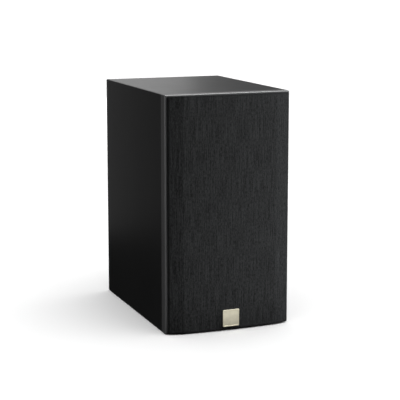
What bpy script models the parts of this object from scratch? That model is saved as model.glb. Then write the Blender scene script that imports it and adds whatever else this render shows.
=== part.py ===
"""A two-way bookshelf loudspeaker, built piece by piece.

Metres, +Z up. The front faces -Y and +X is to the right of someone looking at the front.
The origin is at the middle of the underside of the whole speaker, grille and terminals included.

Most pieces are placed from empties whose own Z axis points out of the cabinet: at the front for
the drivers and the baffle, at the back for the port and the terminals. A height in a profile is
therefore a distance towards whoever looks at that side.
"""

from math import asin, cos, degrees, pi, radians, sin, sqrt

import bmesh
import bpy
from mathutils import Matrix, Vector

MM = 0.001
GAP = 0.3 * MM  # between pieces that touch on the real speaker

# Cabinet
WIDTH = 163 * MM
HEIGHT = 292 * MM
SIDE_DEPTH = 217 * MM  # of the side, top and bottom panels
WALL = 12 * MM
BAFFLE_THICK = 13 * MM
CORNER_ROUND = 1.4 * MM
BAFFLE_FRONT = GAP + BAFFLE_THICK  # heights in front of the side panels' front edge

# Grille
GRILLE_MARGIN = 2.9 * MM  # from the cabinet's side to the grille's
GRILLE_END_MARGIN = 1.4 * MM  # the same at the top and the bottom
GRILLE_BACK = BAFFLE_FRONT + 0.4 * MM
GRILLE_EDGE = BAFFLE_FRONT + 3.7 * MM  # the front of the cloth at its outer edge
GRILLE_SHOULDER = BAFFLE_FRONT + 7.9 * MM  # where the slanting sides meet the crowned middle
GRILLE_CROWN = BAFFLE_FRONT + 10.1 * MM
SHOULDER_X = 61 * MM
CLOTH_THICK = 0.5 * MM
CLOTH_TO_FRAME = 0.4 * MM
PEG_X = 67 * MM
PEG_Z = (14 * MM, 277 * MM)
PEG_RADIUS = 2.6 * MM
PEG_CUP_RADIUS = 5 * MM
PEG_CUP_DEPTH = 11 * MM

# Badge
BADGE_SIDE = 21.2 * MM
BADGE_THICK = 1.1 * MM
BADGE_Z = 15.8 * MM
BADGE_RIM = 1.1 * MM
BADGE_DISH = 0.35 * MM

# Drivers
WOOFER_Z = 98 * MM
WOOFER_RECESS_RADIUS = 69 * MM
WOOFER_RECESS_DEPTH = 2.6 * MM
WOOFER_CUTOUT_RADIUS = 59.8 * MM
WOOFER_SCREW_CIRCLE = 64 * MM
TWEETER_Z = 228 * MM
TWEETER_RECESS_RADIUS = 46.3 * MM
TWEETER_RECESS_DEPTH = 3.3 * MM
TWEETER_CUTOUT_RADIUS = 36 * MM
TWEETER_SCREW_CIRCLE = 41.5 * MM
TWEETER_PLATE_TOP = -3.7 * MM
TWEETER_PLATE_THICK = 4 * MM
TWEETER_MAGNET_THICK = 10 * MM
TWEETER_YOKE_THICK = 4 * MM
SCREW_HOLE_RADIUS = 2.05 * MM

# Back
PORT_Z = 215 * MM
PORT_CUTOUT_RADIUS = 29.5 * MM
TERMINALS_Z = 88 * MM
CUP_FLANGE = (96 * MM, 62 * MM)
CUP_FLANGE_THICK = 2.4 * MM
CUP_TRAY = (82 * MM, 48 * MM)
CUP_WALL = 2 * MM
CUP_RECESS = 20 * MM
CUP_SCREW = (43.6 * MM, 26.6 * MM)
POST_SPACING = 26 * MM
POST_RADIUS = 2.5 * MM
POST_HOLE_RADIUS = 2.8 * MM
BOARD_SIZE = (84 * MM, 60 * MM)
BOARD_THICK = 1.6 * MM
BOARD_BACK = -28.4 * MM  # from the back panel's outer face

# The origin is halfway between the badge's front and the back of the terminal cup's flange.
FRONTMOST = GRILLE_CROWN + GAP + BADGE_THICK
REARMOST = SIDE_DEPTH + GAP + CUP_FLANGE_THICK
CARCASS_FRONT_Y = (FRONTMOST - REARMOST) / 2

FINE = 32  # steps round a large turned piece
MEDIUM = 20
SMALL = 12

MATERIALS = {
    # name: colour, roughness, metallic
    "cabinet_vinyl": ((0.010, 0.010, 0.011), 0.42, 0.0),
    "baffle_lacquer": ((0.014, 0.014, 0.015), 0.35, 0.0),
    "grille_cloth": ((0.022, 0.023, 0.024), 0.95, 0.0),
    "black_plastic": ((0.012, 0.012, 0.013), 0.55, 0.0),
    "satin_champagne": ((0.55, 0.51, 0.42), 0.35, 0.9),
    "cone_paper": ((0.10, 0.028, 0.014), 0.75, 0.0),
    "black_rubber": ((0.012, 0.012, 0.012), 0.7, 0.0),
    "dome_silk": ((0.02, 0.02, 0.022), 0.6, 0.0),
    "steel": ((0.42, 0.42, 0.43), 0.35, 1.0),
    "black_steel": ((0.02, 0.02, 0.02), 0.45, 0.8),
    "ferrite": ((0.03, 0.03, 0.032), 0.7, 0.0),
    "copper_wire": ((0.70, 0.28, 0.12), 0.35, 1.0),
    "former_paper": ((0.40, 0.27, 0.14), 0.8, 0.0),
    "spider_cloth": ((0.55, 0.36, 0.12), 0.9, 0.0),
    "wadding": ((0.75, 0.75, 0.72), 1.0, 0.0),
    "gold_plate": ((0.83, 0.58, 0.24), 0.25, 1.0),
    "red_plastic": ((0.45, 0.012, 0.012), 0.35, 0.0),
    "circuit_board": ((0.16, 0.09, 0.03), 0.6, 0.0),
    "capacitor_film": ((0.02, 0.05, 0.16), 0.4, 0.0),
    "resistor_ceramic": ((0.70, 0.68, 0.62), 0.8, 0.0),
    "wire_sheath": ((0.02, 0.02, 0.02), 0.5, 0.0),
}


# ---- the scene ---------------------------------------------------------------------------------
def clear_scene():
    for thing in list(bpy.data.objects):
        bpy.data.objects.remove(thing, do_unlink=True)


def new_collection(name):
    collection = bpy.data.collections.new(name)
    bpy.context.scene.collection.children.link(collection)
    return collection


def new_material(name, colour, roughness, metallic):
    material = bpy.data.materials.new(name)
    material.use_nodes = True
    shader = material.node_tree.nodes["Principled BSDF"]
    shader.inputs["Base Color"].default_value = (*colour, 1)
    shader.inputs["Roughness"].default_value = roughness
    shader.inputs["Metallic"].default_value = metallic
    material.diffuse_color = (*colour, 1)
    return material


def new_empty(name, location, rotation=(0, 0, 0)):
    empty = bpy.data.objects.new(name, None)
    empty.empty_display_size = 0.02
    empty.location = location
    empty.rotation_euler = rotation
    PARTS.objects.link(empty)
    return empty


clear_scene()
PARTS = new_collection("bookshelf_speaker")
CUTTERS = new_collection("cutters")
FINISH = {name: new_material(name, *values) for name, values in MATERIALS.items()}

FACING_FRONT = (pi / 2, 0, 0)
FACING_BACK = (pi / 2, 0, pi)
PLAN = new_empty("plan_origin", (0, CARCASS_FRONT_Y, 0))
FRONT = new_empty("carcass_front", (0, CARCASS_FRONT_Y, 0), FACING_FRONT)
WOOFER = new_empty("woofer_axis", (0, CARCASS_FRONT_Y - BAFFLE_FRONT, WOOFER_Z), FACING_FRONT)
TWEETER = new_empty("tweeter_axis", (0, CARCASS_FRONT_Y - BAFFLE_FRONT, TWEETER_Z), FACING_FRONT)
PORT = new_empty("port_axis", (0, CARCASS_FRONT_Y + SIDE_DEPTH, PORT_Z), FACING_BACK)
TERMINALS = new_empty("terminals_axis", (0, CARCASS_FRONT_Y + SIDE_DEPTH, TERMINALS_Z), FACING_BACK)


# ---- shapes ------------------------------------------------------------------------------------
def place(name, mesh, material, parent, location=(0, 0, 0)):
    """A new object of the speaker; without a material it is a cutter."""
    obj = bpy.data.objects.new(name, mesh)
    obj.parent = parent
    obj.location = location
    if material:
        mesh.materials.clear()
        mesh.materials.append(FINISH[material])
        PARTS.objects.link(obj)
    else:
        obj.hide_render = True
        obj.display_type = "WIRE"
        CUTTERS.objects.link(obj)
    return obj


def freeze(obj, weld=1e-7):
    """Puts what the modifiers or the curve make into a plain mesh, and removes the source."""
    bpy.context.view_layer.update()
    evaluated = obj.evaluated_get(bpy.context.evaluated_depsgraph_get())
    mesh = bpy.data.meshes.new_from_object(evaluated)
    shape = bmesh.new()
    shape.from_mesh(mesh)
    bmesh.ops.remove_doubles(shape, verts=shape.verts, dist=weld)
    shape.to_mesh(mesh)
    shape.free()
    mesh.shade_smooth()
    mesh.set_sharp_from_angle(angle=radians(35))
    bpy.data.objects.remove(obj)
    return mesh


def turned(name, profile, material, parent, location=(0, 0, 0), steps=MEDIUM, ring=True):
    """Turns (radius, height) points about Z. They run down the outer side, then back up the inner."""
    mesh = bpy.data.meshes.new(name)
    points = [(radius, 0, height) for radius, height in profile]
    edges = [(i, i + 1) for i in range(len(points) - 1)]
    if ring:
        edges.append((len(points) - 1, 0))
    mesh.from_pydata(points, edges, [])
    source = bpy.data.objects.new(name, mesh)
    CUTTERS.objects.link(source)
    screw = source.modifiers.new("Turn", "SCREW")
    screw.steps = steps
    screw.render_steps = steps
    screw.use_merge_vertices = True
    screw.merge_threshold = 1e-6
    return place(name, freeze(source), material, parent, location)


def disc(name, radius, low, high, material, parent, location=(0, 0, 0), steps=MEDIUM):
    """A solid cylinder about Z."""
    profile = [(0, high), (radius, high), (radius, low), (0, low)]
    return turned(name, profile, material, parent, location, steps, ring=False)


def ring(name, inner, outer, low, high, material, parent, location=(0, 0, 0), steps=MEDIUM):
    """A plain washer about Z."""
    profile = [(outer, high), (outer, low), (inner, low), (inner, high)]
    return turned(name, profile, material, parent, location, steps)


def prism(name, outlines, low, high, material, parent, location=(0, 0, 0)):
    """Fills flat closed outlines, holes included, and gives them thickness along Z."""
    curve = bpy.data.curves.new(name, "CURVE")
    curve.dimensions = "2D"
    curve.fill_mode = "BOTH"
    curve.extrude = (high - low) / 2
    for outline in outlines:
        spline = curve.splines.new("POLY")
        spline.points.add(len(outline) - 1)
        for point, (x, y) in zip(spline.points, outline):
            point.co = (x, y, 0, 1)
        spline.use_cyclic_u = True
    source = bpy.data.objects.new(name, curve)
    CUTTERS.objects.link(source)
    mesh = freeze(source)
    mesh.transform(Matrix.Translation((0, 0, (low + high) / 2)))
    bpy.data.curves.remove(curve)
    return place(name, mesh, material, parent, location)


def box(name, low, high, material, parent):
    shape = bmesh.new()
    bmesh.ops.create_cube(shape, size=1)
    low, high = Vector(low), Vector(high)
    for vertex in shape.verts:
        share = vertex.co + Vector((0.5, 0.5, 0.5))
        vertex.co = low + Vector(a * b for a, b in zip(share, high - low))
    mesh = bpy.data.meshes.new(name)
    shape.to_mesh(mesh)
    shape.free()
    return place(name, mesh, material, parent)


def tube(name, route, radius, material, parent):
    """A round wire along a smooth curve through the route's points."""
    line = smooth_line([Vector(point) for point in route], 4)
    curve = bpy.data.curves.new(name, "CURVE")
    curve.dimensions = "3D"
    curve.bevel_depth = radius
    curve.bevel_resolution = 2
    curve.use_fill_caps = True
    spline = curve.splines.new("POLY")
    spline.points.add(len(line) - 1)
    for point, place_at in zip(spline.points, line):
        point.co = (*place_at, 1)
    source = bpy.data.objects.new(name, curve)
    CUTTERS.objects.link(source)
    mesh = freeze(source, weld=1e-6)
    bpy.data.curves.remove(curve)
    return place(name, mesh, material, parent)


def smooth_line(points, steps):
    """Points along a Catmull-Rom curve through the given ones."""
    ends = [points[0] * 2 - points[1], *points, points[-1] * 2 - points[-2]]
    line = [points[0]]
    for a, b, c, d in zip(ends, ends[1:], ends[2:], ends[3:]):
        for step in range(1, steps + 1):
            t = step / steps
            line.append(
                (b * 2 + (c - a) * t + (a * 2 - b * 5 + c * 4 - d) * t**2
                 + (b * 3 - a - c * 3 + d) * t**3) / 2
            )
    return line


def arc(centre, radius, start, end, count):
    """Points on an arc from one angle to the other, in degrees, both ends included."""
    angles = [radians(start + (end - start) * i / count) for i in range(count + 1)]
    return [(centre[0] + radius * cos(a), centre[1] + radius * sin(a)) for a in angles]


def rounded_rectangle(centre, size, radius, count=5):
    """An outline with round corners, anticlockwise."""
    x, y = size[0] / 2 - radius, size[1] / 2 - radius
    corners = ((x, y, 0), (-x, y, 90), (-x, -y, 180), (x, -y, 270))
    outline = []
    for dx, dy, start in corners:
        outline += arc((centre[0] + dx, centre[1] + dy), radius, start, start + 90, count)
    return outline


def circle(centre, radius, steps=MEDIUM):
    return arc(centre, radius, 0, 360, steps)[:-1]


def dome(radius, base, rise, count):
    """(radius, height) points over a spherical cap, from the middle out to its rim."""
    sphere = (radius**2 + rise**2) / (2 * rise)
    half_angle = asin(radius / sphere)
    angles = [half_angle * i / count for i in range(count + 1)]
    return [(sphere * sin(a), base + rise - sphere * (1 - cos(a))) for a in angles]


def boolean(target, operation, tool, solver="EXACT"):
    modifier = target.modifiers.new(tool.name, "BOOLEAN")
    modifier.operation = operation
    modifier.solver = solver
    modifier.object = tool


def cut(target, *tools, solver="EXACT"):
    for tool in tools:
        boolean(target, "DIFFERENCE", tool, solver)


def join(target, *tools):
    for tool in tools:
        boolean(target, "UNION", tool)


def round_edges(obj, chosen, width, segments=3):
    """Rounds the edges for which chosen(a, b) is true; a and b are the edge's ends."""
    shape = bmesh.new()
    shape.from_mesh(obj.data)
    edges = [e for e in shape.edges if chosen(*(v.co for v in e.verts)) and e.calc_face_angle() > 0.5]
    bmesh.ops.bevel(shape, geom=edges, offset=width, segments=segments, profile=0.5, affect="EDGES")
    shape.to_mesh(obj.data)
    shape.free()


def around(count, radius, first):
    """Places on a circle, with the first one at an angle in degrees."""
    angles = [radians(first + 360 * i / count) for i in range(count)]
    return [(radius * cos(a), radius * sin(a)) for a in angles]


def hole(name, at, radius, low, high, parent, steps=SMALL):
    return disc(name, radius, low, high, None, parent, (*at, 0), steps)


# ---- fasteners ---------------------------------------------------------------------------------
def pan_screw(name, parent, at, seat, length, head=(3.4 * MM, 2.0 * MM), shank=1.7 * MM):
    """A screw with a domed head on the seat's height and its shank going down from there."""
    head_radius, head_height = head
    profile = [
        (0, seat + head_height),
        (head_radius * 0.6, seat + head_height),
        (head_radius, seat + head_height * 0.4),
        (head_radius, seat),
        (shank, seat),
        (shank, seat - length + shank),
        (0, seat - length),
    ]
    return turned(name, profile, "black_steel", parent, (*at, 0), SMALL, ring=False)


# ---- cabinet -----------------------------------------------------------------------------------
def panel_outline(half, depth, other_half):
    """A mitred panel seen end on, with its outer face up: half its width, its wall, its height.

    Each mitre stays half a gap from the diagonal, and the outer corner's round is shared with
    the next panel at the diagonal.
    """
    shift = GAP / sqrt(2)
    corner = arc((half - CORNER_ROUND, other_half - CORNER_ROUND), CORNER_ROUND, 48, 90, 3)
    right = [(half - depth - shift, other_half - depth)] + corner
    left = [(-x, y) for x, y in reversed(right)]
    return right + left


def make_cabinet_panels():
    half_width, half_height = WIDTH / 2, HEIGHT / 2

    def turned_about_middle(outline, quarter_turns):
        for _ in range(quarter_turns):
            outline = [(-y, x) for x, y in outline]
        return [(x, y + half_height) for x, y in outline]

    lying = panel_outline(half_width, WALL, half_height)
    standing = panel_outline(half_height, WALL, half_width)
    panels = (
        ("top_panel", lying, 0),
        ("left_side_panel", standing, 1),
        ("bottom_panel", lying, 2),
        ("right_side_panel", standing, 3),
    )
    for name, outline, quarter_turns in panels:
        prism(name, [turned_about_middle(outline, quarter_turns)], -SIDE_DEPTH, 0,
              "cabinet_vinyl", FRONT)


def make_back_panel():
    """Let in between the other four panels, with holes for the port and the terminal cup."""
    inset = WALL + GAP
    outer = rounded_rectangle((0, HEIGHT / 2), (WIDTH - 2 * inset, HEIGHT - 2 * inset), 0.5 * MM, 1)
    opening = rounded_rectangle((0, TERMINALS_Z), [side + 2 * GAP for side in CUP_TRAY], 6 * MM)
    pilots = [circle((x, y + TERMINALS_Z), 1.5 * MM, SMALL) for x, y in cup_screw_places()]
    prism("back_panel", [outer, opening, circle((0, PORT_Z), PORT_CUTOUT_RADIUS, FINE)] + pilots,
          -SIDE_DEPTH, WALL - SIDE_DEPTH, "cabinet_vinyl", FRONT)


def make_front_baffle():
    """The board that carries both drivers, each sunk flush, and the grille's peg cups."""
    outer = rounded_rectangle((0, HEIGHT / 2), (WIDTH, HEIGHT), CORNER_ROUND, 4)
    openings = [circle((0, WOOFER_Z), WOOFER_CUTOUT_RADIUS, FINE),
                circle((0, TWEETER_Z), TWEETER_CUTOUT_RADIUS, FINE)]
    for height, radius in ((WOOFER_Z, WOOFER_SCREW_CIRCLE), (TWEETER_Z, TWEETER_SCREW_CIRCLE)):
        openings += [circle((x, y + height), SCREW_HOLE_RADIUS, SMALL) for x, y in around(4, radius, 45)]
    openings += [circle(at, PEG_CUP_RADIUS + GAP, SMALL) for at in peg_places()]
    baffle = prism("front_baffle", [outer] + openings, GAP, BAFFLE_FRONT, "baffle_lacquer", FRONT)

    def is_front_rim(a, b):
        middle = (a + b) / 2
        outside = max(abs(middle.x) - WIDTH / 2, abs(middle.y - HEIGHT / 2) - HEIGHT / 2)
        return outside > -CORNER_ROUND and min(a.z, b.z) > BAFFLE_FRONT - GAP

    round_edges(baffle, is_front_rim, 2.0 * MM, 3)
    cut(
        baffle,
        hole("woofer_recess", (0, 0), WOOFER_RECESS_RADIUS, -WOOFER_RECESS_DEPTH, BAFFLE_THICK, WOOFER,
             FINE),
        hole("tweeter_recess", (0, 0), TWEETER_RECESS_RADIUS, -TWEETER_RECESS_DEPTH, BAFFLE_THICK,
             TWEETER, FINE),
        solver="MANIFOLD",
    )


def make_wadding():
    """A mat that lines the bottom and both sides, clear of the magnet and the crossover."""
    thick, top = 16 * MM, 180 * MM
    outer, low = WIDTH / 2 - WALL - 1 * MM, WALL + 1 * MM
    inner, floor = outer - thick, low + thick
    right = [(inner, top), (inner, floor + thick)]
    right += arc((inner - thick, floor + thick), thick, 0, -90, 4)[1:]
    left = [(-x, y) for x, y in reversed(right)]
    outline = [(-outer, low), (outer, low), (outer, top)] + right + left + [(-outer, top)]
    prism("damping_wadding", [outline], -180 * MM, -70 * MM, "wadding", FRONT)


def make_port_tube():
    """A tube flared at both ends; heights are from the back panel's outer face."""
    bore, wall, length = 20 * MM, 2.2 * MM, 100 * MM
    flange, lip = 2.3 * MM, 34 * MM
    depth, flare, inner_flare = 13 * MM, 8 * MM, 4.5 * MM
    profile = [
        (lip - 0.8 * MM, flange),
        (lip, flange - 0.8 * MM),
        (lip, GAP),
        (bore + flare + 0.8 * MM, GAP),
        (bore + flare * 0.6, -depth * 0.6),
        (bore + wall, -depth - 1 * MM),
        (bore + wall, -length + 8 * MM),
        (bore + wall + inner_flare, -length),
        (bore + inner_flare, -length),
        (bore + 0.8 * MM, -length + 5 * MM),
        (bore, -length + 9 * MM),
    ]
    for i in range(7):
        t = pi / 2 * i / 6
        profile.append((bore + flare * (1 - cos(t)), (depth + flange) * sin(t) - depth))
    turned("port_tube", profile, "black_plastic", PORT, steps=FINE)


# ---- woofer: heights from the baffle's front face ------------------------------------------------
CONE_RIM = 46 * MM
CONE_NECK = 13.6 * MM
CONE_DEPTH = 22 * MM
ROLL_INNER, ROLL_OUTER = 46.5 * MM, 55.5 * MM
FORMER = (12.5 * MM, 13.0 * MM)
TOP_PLATE_TOP = -36 * MM


def make_woofer_basket():
    thick = 1.6 * MM
    top = -0.7 * MM
    profile = [
        (68.5 * MM, top),
        (68.5 * MM, top - thick),
        (59.4 * MM, top - thick),
        (57.5 * MM, -14 * MM),
        (39.5 * MM, -29.5 * MM),
        (39.5 * MM, TOP_PLATE_TOP + GAP),
        (18 * MM, TOP_PLATE_TOP + GAP),
        (18 * MM, TOP_PLATE_TOP + GAP + thick),
        (34 * MM, TOP_PLATE_TOP + GAP + thick),
        (34 * MM, -28.5 * MM),
        (38 * MM, -28.5 * MM),
        (55 * MM, -13.5 * MM),
        (54 * MM, top),
    ]
    basket = turned("woofer_basket", profile, "black_steel", WOOFER, steps=FINE)
    window, reach = 46 * MM, 80 * MM
    low, high = -26.5 * MM, -6 * MM
    for name, half_x, half_y in (("across", reach, window / 2), ("upright", window / 2, reach)):
        cut(basket, box(f"basket_window_{name}", (-half_x, -half_y, low), (half_x, half_y, high),
                        None, WOOFER))
    for number, at in enumerate(around(4, WOOFER_SCREW_CIRCLE, 45), 1):
        cut(basket, hole(f"basket_screw_hole_{number}", at, SCREW_HOLE_RADIUS, -5 * MM, 5 * MM, WOOFER))


def make_woofer_trim_ring():
    profile = [
        (67.6 * MM, 1.2 * MM),
        (68.6 * MM, 0.4 * MM),
        (68.6 * MM, -0.4 * MM),
        (58.4 * MM, -0.4 * MM),
        (58.4 * MM, 0.7 * MM),
        (59.2 * MM, 1.2 * MM),
    ]
    trim = turned("woofer_trim_ring", profile, "black_plastic", WOOFER, steps=FINE)
    for number, at in enumerate(around(4, WOOFER_SCREW_CIRCLE, 45), 1):
        cut(trim, hole(f"trim_screw_hole_{number}", at, SCREW_HOLE_RADIUS, -3 * MM, 3 * MM, WOOFER))


def make_woofer_surround():
    """A half roll of rubber between the cone's rim and the basket, with a flat land each side."""
    half_thick = 0.4 * MM
    middle = (ROLL_INNER + ROLL_OUTER) / 2
    roll = (ROLL_OUTER - ROLL_INNER) / 2
    over = arc((middle, 0), roll + half_thick, 5, 175, 7)
    under = arc((middle, 0), roll - half_thick, 170, 10, 6)
    profile = [(58.0 * MM, half_thick), (58.0 * MM, -half_thick), (ROLL_OUTER - half_thick, -half_thick)]
    profile += under[::-1]
    profile += [(ROLL_INNER + half_thick, -half_thick), (43.5 * MM, -half_thick), (43.5 * MM, half_thick)]
    profile += over[::-1]
    turned("woofer_surround", profile, "black_rubber", WOOFER, steps=FINE)


def cone_height(radius):
    """The cone's front surface between its neck and its rim, slightly curved inwards."""
    share = (radius - CONE_NECK) / (43 * MM - CONE_NECK)
    return -1 * MM - CONE_DEPTH * (1 - share) ** 1.18


def make_woofer_cone():
    thick, rim_top = 1.0 * MM, -0.7 * MM
    radii = [CONE_NECK + (43 * MM - CONE_NECK) * i / 5 for i in range(6)]
    front = [(radius, cone_height(radius)) for radius in radii]
    back = [(radius, height - thick * 1.2) for radius, height in front]
    profile = [(CONE_RIM, rim_top), (CONE_RIM, rim_top - 0.8 * MM)]
    profile += back[::-1]
    profile += front
    turned("woofer_cone", profile, "cone_paper", WOOFER, steps=FINE)


def make_woofer_dust_cap():
    edge, thick = 17.5 * MM, 0.7 * MM
    base = cone_height(edge) + 2 * GAP
    outside = dome(edge, base, 5.5 * MM, 5)
    inside = dome(edge - thick, base, 5.5 * MM - thick, 4)
    turned("woofer_dust_cap", outside + inside[::-1], "black_rubber", WOOFER, ring=False)


def make_woofer_motor():
    ring("woofer_coil_former", *FORMER, -46 * MM, -19 * MM, "former_paper", WOOFER)
    ring("woofer_voice_coil", 13.3 * MM, 14.2 * MM, -46 * MM, -33 * MM, "copper_wire", WOOFER)
    make_woofer_spider()
    plate, magnet, yoke = 5 * MM, 15 * MM, 5 * MM
    plate_low = TOP_PLATE_TOP - plate
    ring("woofer_top_plate", 14.8 * MM, 38 * MM, plate_low, TOP_PLATE_TOP, "steel", WOOFER, steps=FINE)
    magnet_top = plate_low - GAP
    ring("woofer_magnet", 21 * MM, 42 * MM, magnet_top - magnet, magnet_top, "ferrite", WOOFER,
         steps=FINE)
    yoke_top = magnet_top - magnet - GAP
    pole = 12 * MM
    vent = 4 * MM
    profile = [
        (pole, TOP_PLATE_TOP + 0.5 * MM),
        (pole, yoke_top),
        (38 * MM, yoke_top),
        (38 * MM, yoke_top - yoke),
        (vent, yoke_top - yoke),
        (vent, TOP_PLATE_TOP + 0.5 * MM),
    ]
    turned("woofer_yoke", profile, "steel", WOOFER, steps=FINE)


def make_woofer_spider():
    """The corrugated cloth ring that centres the coil, with a flat land on the basket's shelf."""
    inner, outer, land, height = 13.5 * MM, 33.5 * MM, 36.8 * MM, -27.5 * MM
    thick, wave, waves = 0.7 * MM, 0.9 * MM, 3
    count = waves * 4
    front = []
    for i in range(count + 1):
        share = i / count
        front.append((inner + (outer - inner) * share, height + wave * sin(2 * pi * waves * share)))
    front.append((land, height))
    back = [(radius, level - thick) for radius, level in front]
    turned("woofer_spider", front + back[::-1], "spider_cloth", WOOFER)


def make_woofer():
    make_woofer_basket()
    make_woofer_trim_ring()
    make_woofer_surround()
    make_woofer_cone()
    make_woofer_dust_cap()
    make_woofer_motor()
    for number, at in enumerate(around(4, WOOFER_SCREW_CIRCLE, 45), 1):
        pan_screw(f"woofer_screw_{number}", WOOFER, at, 1.2 * MM + GAP, 13 * MM)


# ---- tweeter: heights from the baffle's front face -----------------------------------------------
def make_tweeter_faceplate():
    """A round plate with a shallow flare around the dome."""
    hole_radius, flare_radius, rim = 17 * MM, 34 * MM, 46 * MM
    flare = [(hole_radius + (flare_radius - hole_radius) * i / 5, 0.8 * MM - 3.2 * MM * (1 - i / 5) ** 2)
             for i in range(6)]
    profile = [(rim - 0.8 * MM, 0.8 * MM), (rim, 0), (rim, -3 * MM), (hole_radius, -3.4 * MM)]
    profile += flare
    plate = turned("tweeter_faceplate", profile, "black_plastic", TWEETER, steps=FINE)
    for number, at in enumerate(around(4, TWEETER_SCREW_CIRCLE, 45), 1):
        cut(plate, hole(f"faceplate_screw_hole_{number}", at, SCREW_HOLE_RADIUS, -5 * MM, 3 * MM,
                        TWEETER))


def make_tweeter_diaphragm():
    edge, base, thick = 13 * MM, -2.4 * MM, 0.5 * MM
    outside = dome(edge, base, 5 * MM, 6)
    inside = dome(edge - thick, base, 5 * MM - thick, 5)
    turned("tweeter_dome", outside + inside[::-1], "dome_silk", TWEETER, ring=False)

    roll, half_thick, land = 1.2 * MM, 0.25 * MM, 16.7 * MM
    middle = edge + GAP + roll + half_thick
    level = -2.9 * MM
    over = arc((middle, level), roll + half_thick, 0, 180, 6)
    under = arc((middle, level), roll - half_thick, 180, 0, 5)
    profile = [(land, level + half_thick), (land, level - half_thick)]
    profile += under[::-1]
    profile += over[::-1][:-1]
    turned("tweeter_suspension", profile, "dome_silk", TWEETER)
    ring("tweeter_voice_coil", 12.4 * MM, 13.0 * MM, -9.2 * MM, base - GAP, "copper_wire", TWEETER)


def make_tweeter_motor():
    plate_top = TWEETER_PLATE_TOP
    plate_low = plate_top - TWEETER_PLATE_THICK
    ring("tweeter_top_plate", 13.7 * MM, 31 * MM, plate_low, plate_top, "steel", TWEETER)
    magnet_top = plate_low - GAP
    magnet_low = magnet_top - TWEETER_MAGNET_THICK
    ring("tweeter_magnet", 17 * MM, 35 * MM, magnet_low, magnet_top, "ferrite", TWEETER)
    yoke_top = magnet_low - GAP
    yoke_low = yoke_top - TWEETER_YOKE_THICK
    pole = 11.8 * MM
    profile = [(0, plate_top), (pole, plate_top), (pole, yoke_top), (31 * MM, yoke_top),
               (31 * MM, yoke_low), (0, yoke_low)]
    turned("tweeter_yoke", profile, "steel", TWEETER, ring=False)


def make_tweeter():
    make_tweeter_faceplate()
    make_tweeter_diaphragm()
    make_tweeter_motor()
    for number, at in enumerate(around(4, TWEETER_SCREW_CIRCLE, 45), 1):
        pan_screw(f"tweeter_screw_{number}", TWEETER, at, 0.8 * MM + GAP, 12 * MM,
                  head=(2.9 * MM, 1.7 * MM))


# ---- terminals: heights from the back panel's outer face -----------------------------------------
def cup_screw_places():
    x, y = CUP_SCREW
    return [(x, y), (-x, y), (-x, -y), (x, -y)]


def post_places():
    """Red is on the left of someone looking at the back, as the terminals' own X runs right."""
    return (("red", -POST_SPACING / 2), ("black", POST_SPACING / 2))


def make_terminal_cup():
    """A flange on the back panel with a tray sunk through it."""
    flange = prism("terminal_cup", [rounded_rectangle((0, 0), CUP_FLANGE, 9 * MM)],
                   GAP, GAP + CUP_FLANGE_THICK, "black_plastic", TERMINALS)
    floor = -CUP_RECESS
    tray = prism("cup_tray", [rounded_rectangle((0, 0), CUP_TRAY, 6 * MM)],
                 floor - CUP_WALL, CUP_FLANGE_THICK, None, TERMINALS)
    inside = [side - 2 * CUP_WALL for side in CUP_TRAY]
    recess = prism("cup_recess", [rounded_rectangle((0, 0), inside, 5 * MM)],
                   floor, 3 * CUP_FLANGE_THICK, None, TERMINALS)
    join(flange, tray)
    cut(flange, recess)
    for name, x in post_places():
        cut(flange, hole(f"cup_hole_{name}", (x, 0), POST_HOLE_RADIUS,
                         floor - 2 * CUP_WALL, floor + CUP_WALL, TERMINALS))
    counterbore = 1.5 * MM
    for number, at in enumerate(cup_screw_places(), 1):
        cut(
            flange,
            hole(f"cup_screw_hole_{number}", at, 1.5 * MM, -1 * MM, 4 * MM, TERMINALS),
            hole(f"cup_counterbore_{number}", at, 3.0 * MM, counterbore, 4 * MM, TERMINALS),
        )
        pan_screw(f"cup_screw_{number}", TERMINALS, at, counterbore + GAP, 12 * MM,
                  head=(2.6 * MM, 0.8 * MM), shank=1.2 * MM)


def make_binding_post(name, x):
    """A threaded stud with a collar, a loose clamping washer and a fluted cap that screws down."""
    floor = -CUP_RECESS
    collar_top = floor + GAP + 3 * MM
    stud_top = collar_top + 15.5 * MM
    socket_radius, socket_depth = 2.05 * MM, 14 * MM
    profile = [
        (0, stud_top - socket_depth),
        (socket_radius, stud_top - socket_depth),
        (socket_radius, stud_top),
        (POST_RADIUS, stud_top),
        (POST_RADIUS, collar_top),
        (5.5 * MM, collar_top),
        (5.5 * MM, floor + GAP),
        (POST_RADIUS, floor + GAP),
        (POST_RADIUS, BOARD_BACK - BOARD_THICK + GAP),
        (0, BOARD_BACK - BOARD_THICK + GAP),
    ]
    turned(f"post_stud_{name}", profile, "gold_plate", TERMINALS, (x, 0, 0), 24, ring=False)
    washer_low = collar_top + GAP
    ring(f"post_washer_{name}", POST_HOLE_RADIUS, 5.6 * MM, washer_low, washer_low + 1.2 * MM,
         "gold_plate", TERMINALS, (x, 0, 0), 24)
    cap_low = washer_low + 1.2 * MM + GAP
    flutes, points = 12, 48
    edge = []
    for i in range(points):
        angle = 2 * pi * i / points
        radius = 6.3 * MM + 0.28 * MM * cos(flutes * angle)
        edge.append((radius * cos(angle), radius * sin(angle)))
    prism(f"post_cap_{name}", [edge, circle((0, 0), POST_HOLE_RADIUS, 24)], cap_low, cap_low + 14.5 * MM,
          "red_plastic" if name == "red" else "black_plastic", TERMINALS, (x, 0, 0))


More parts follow.
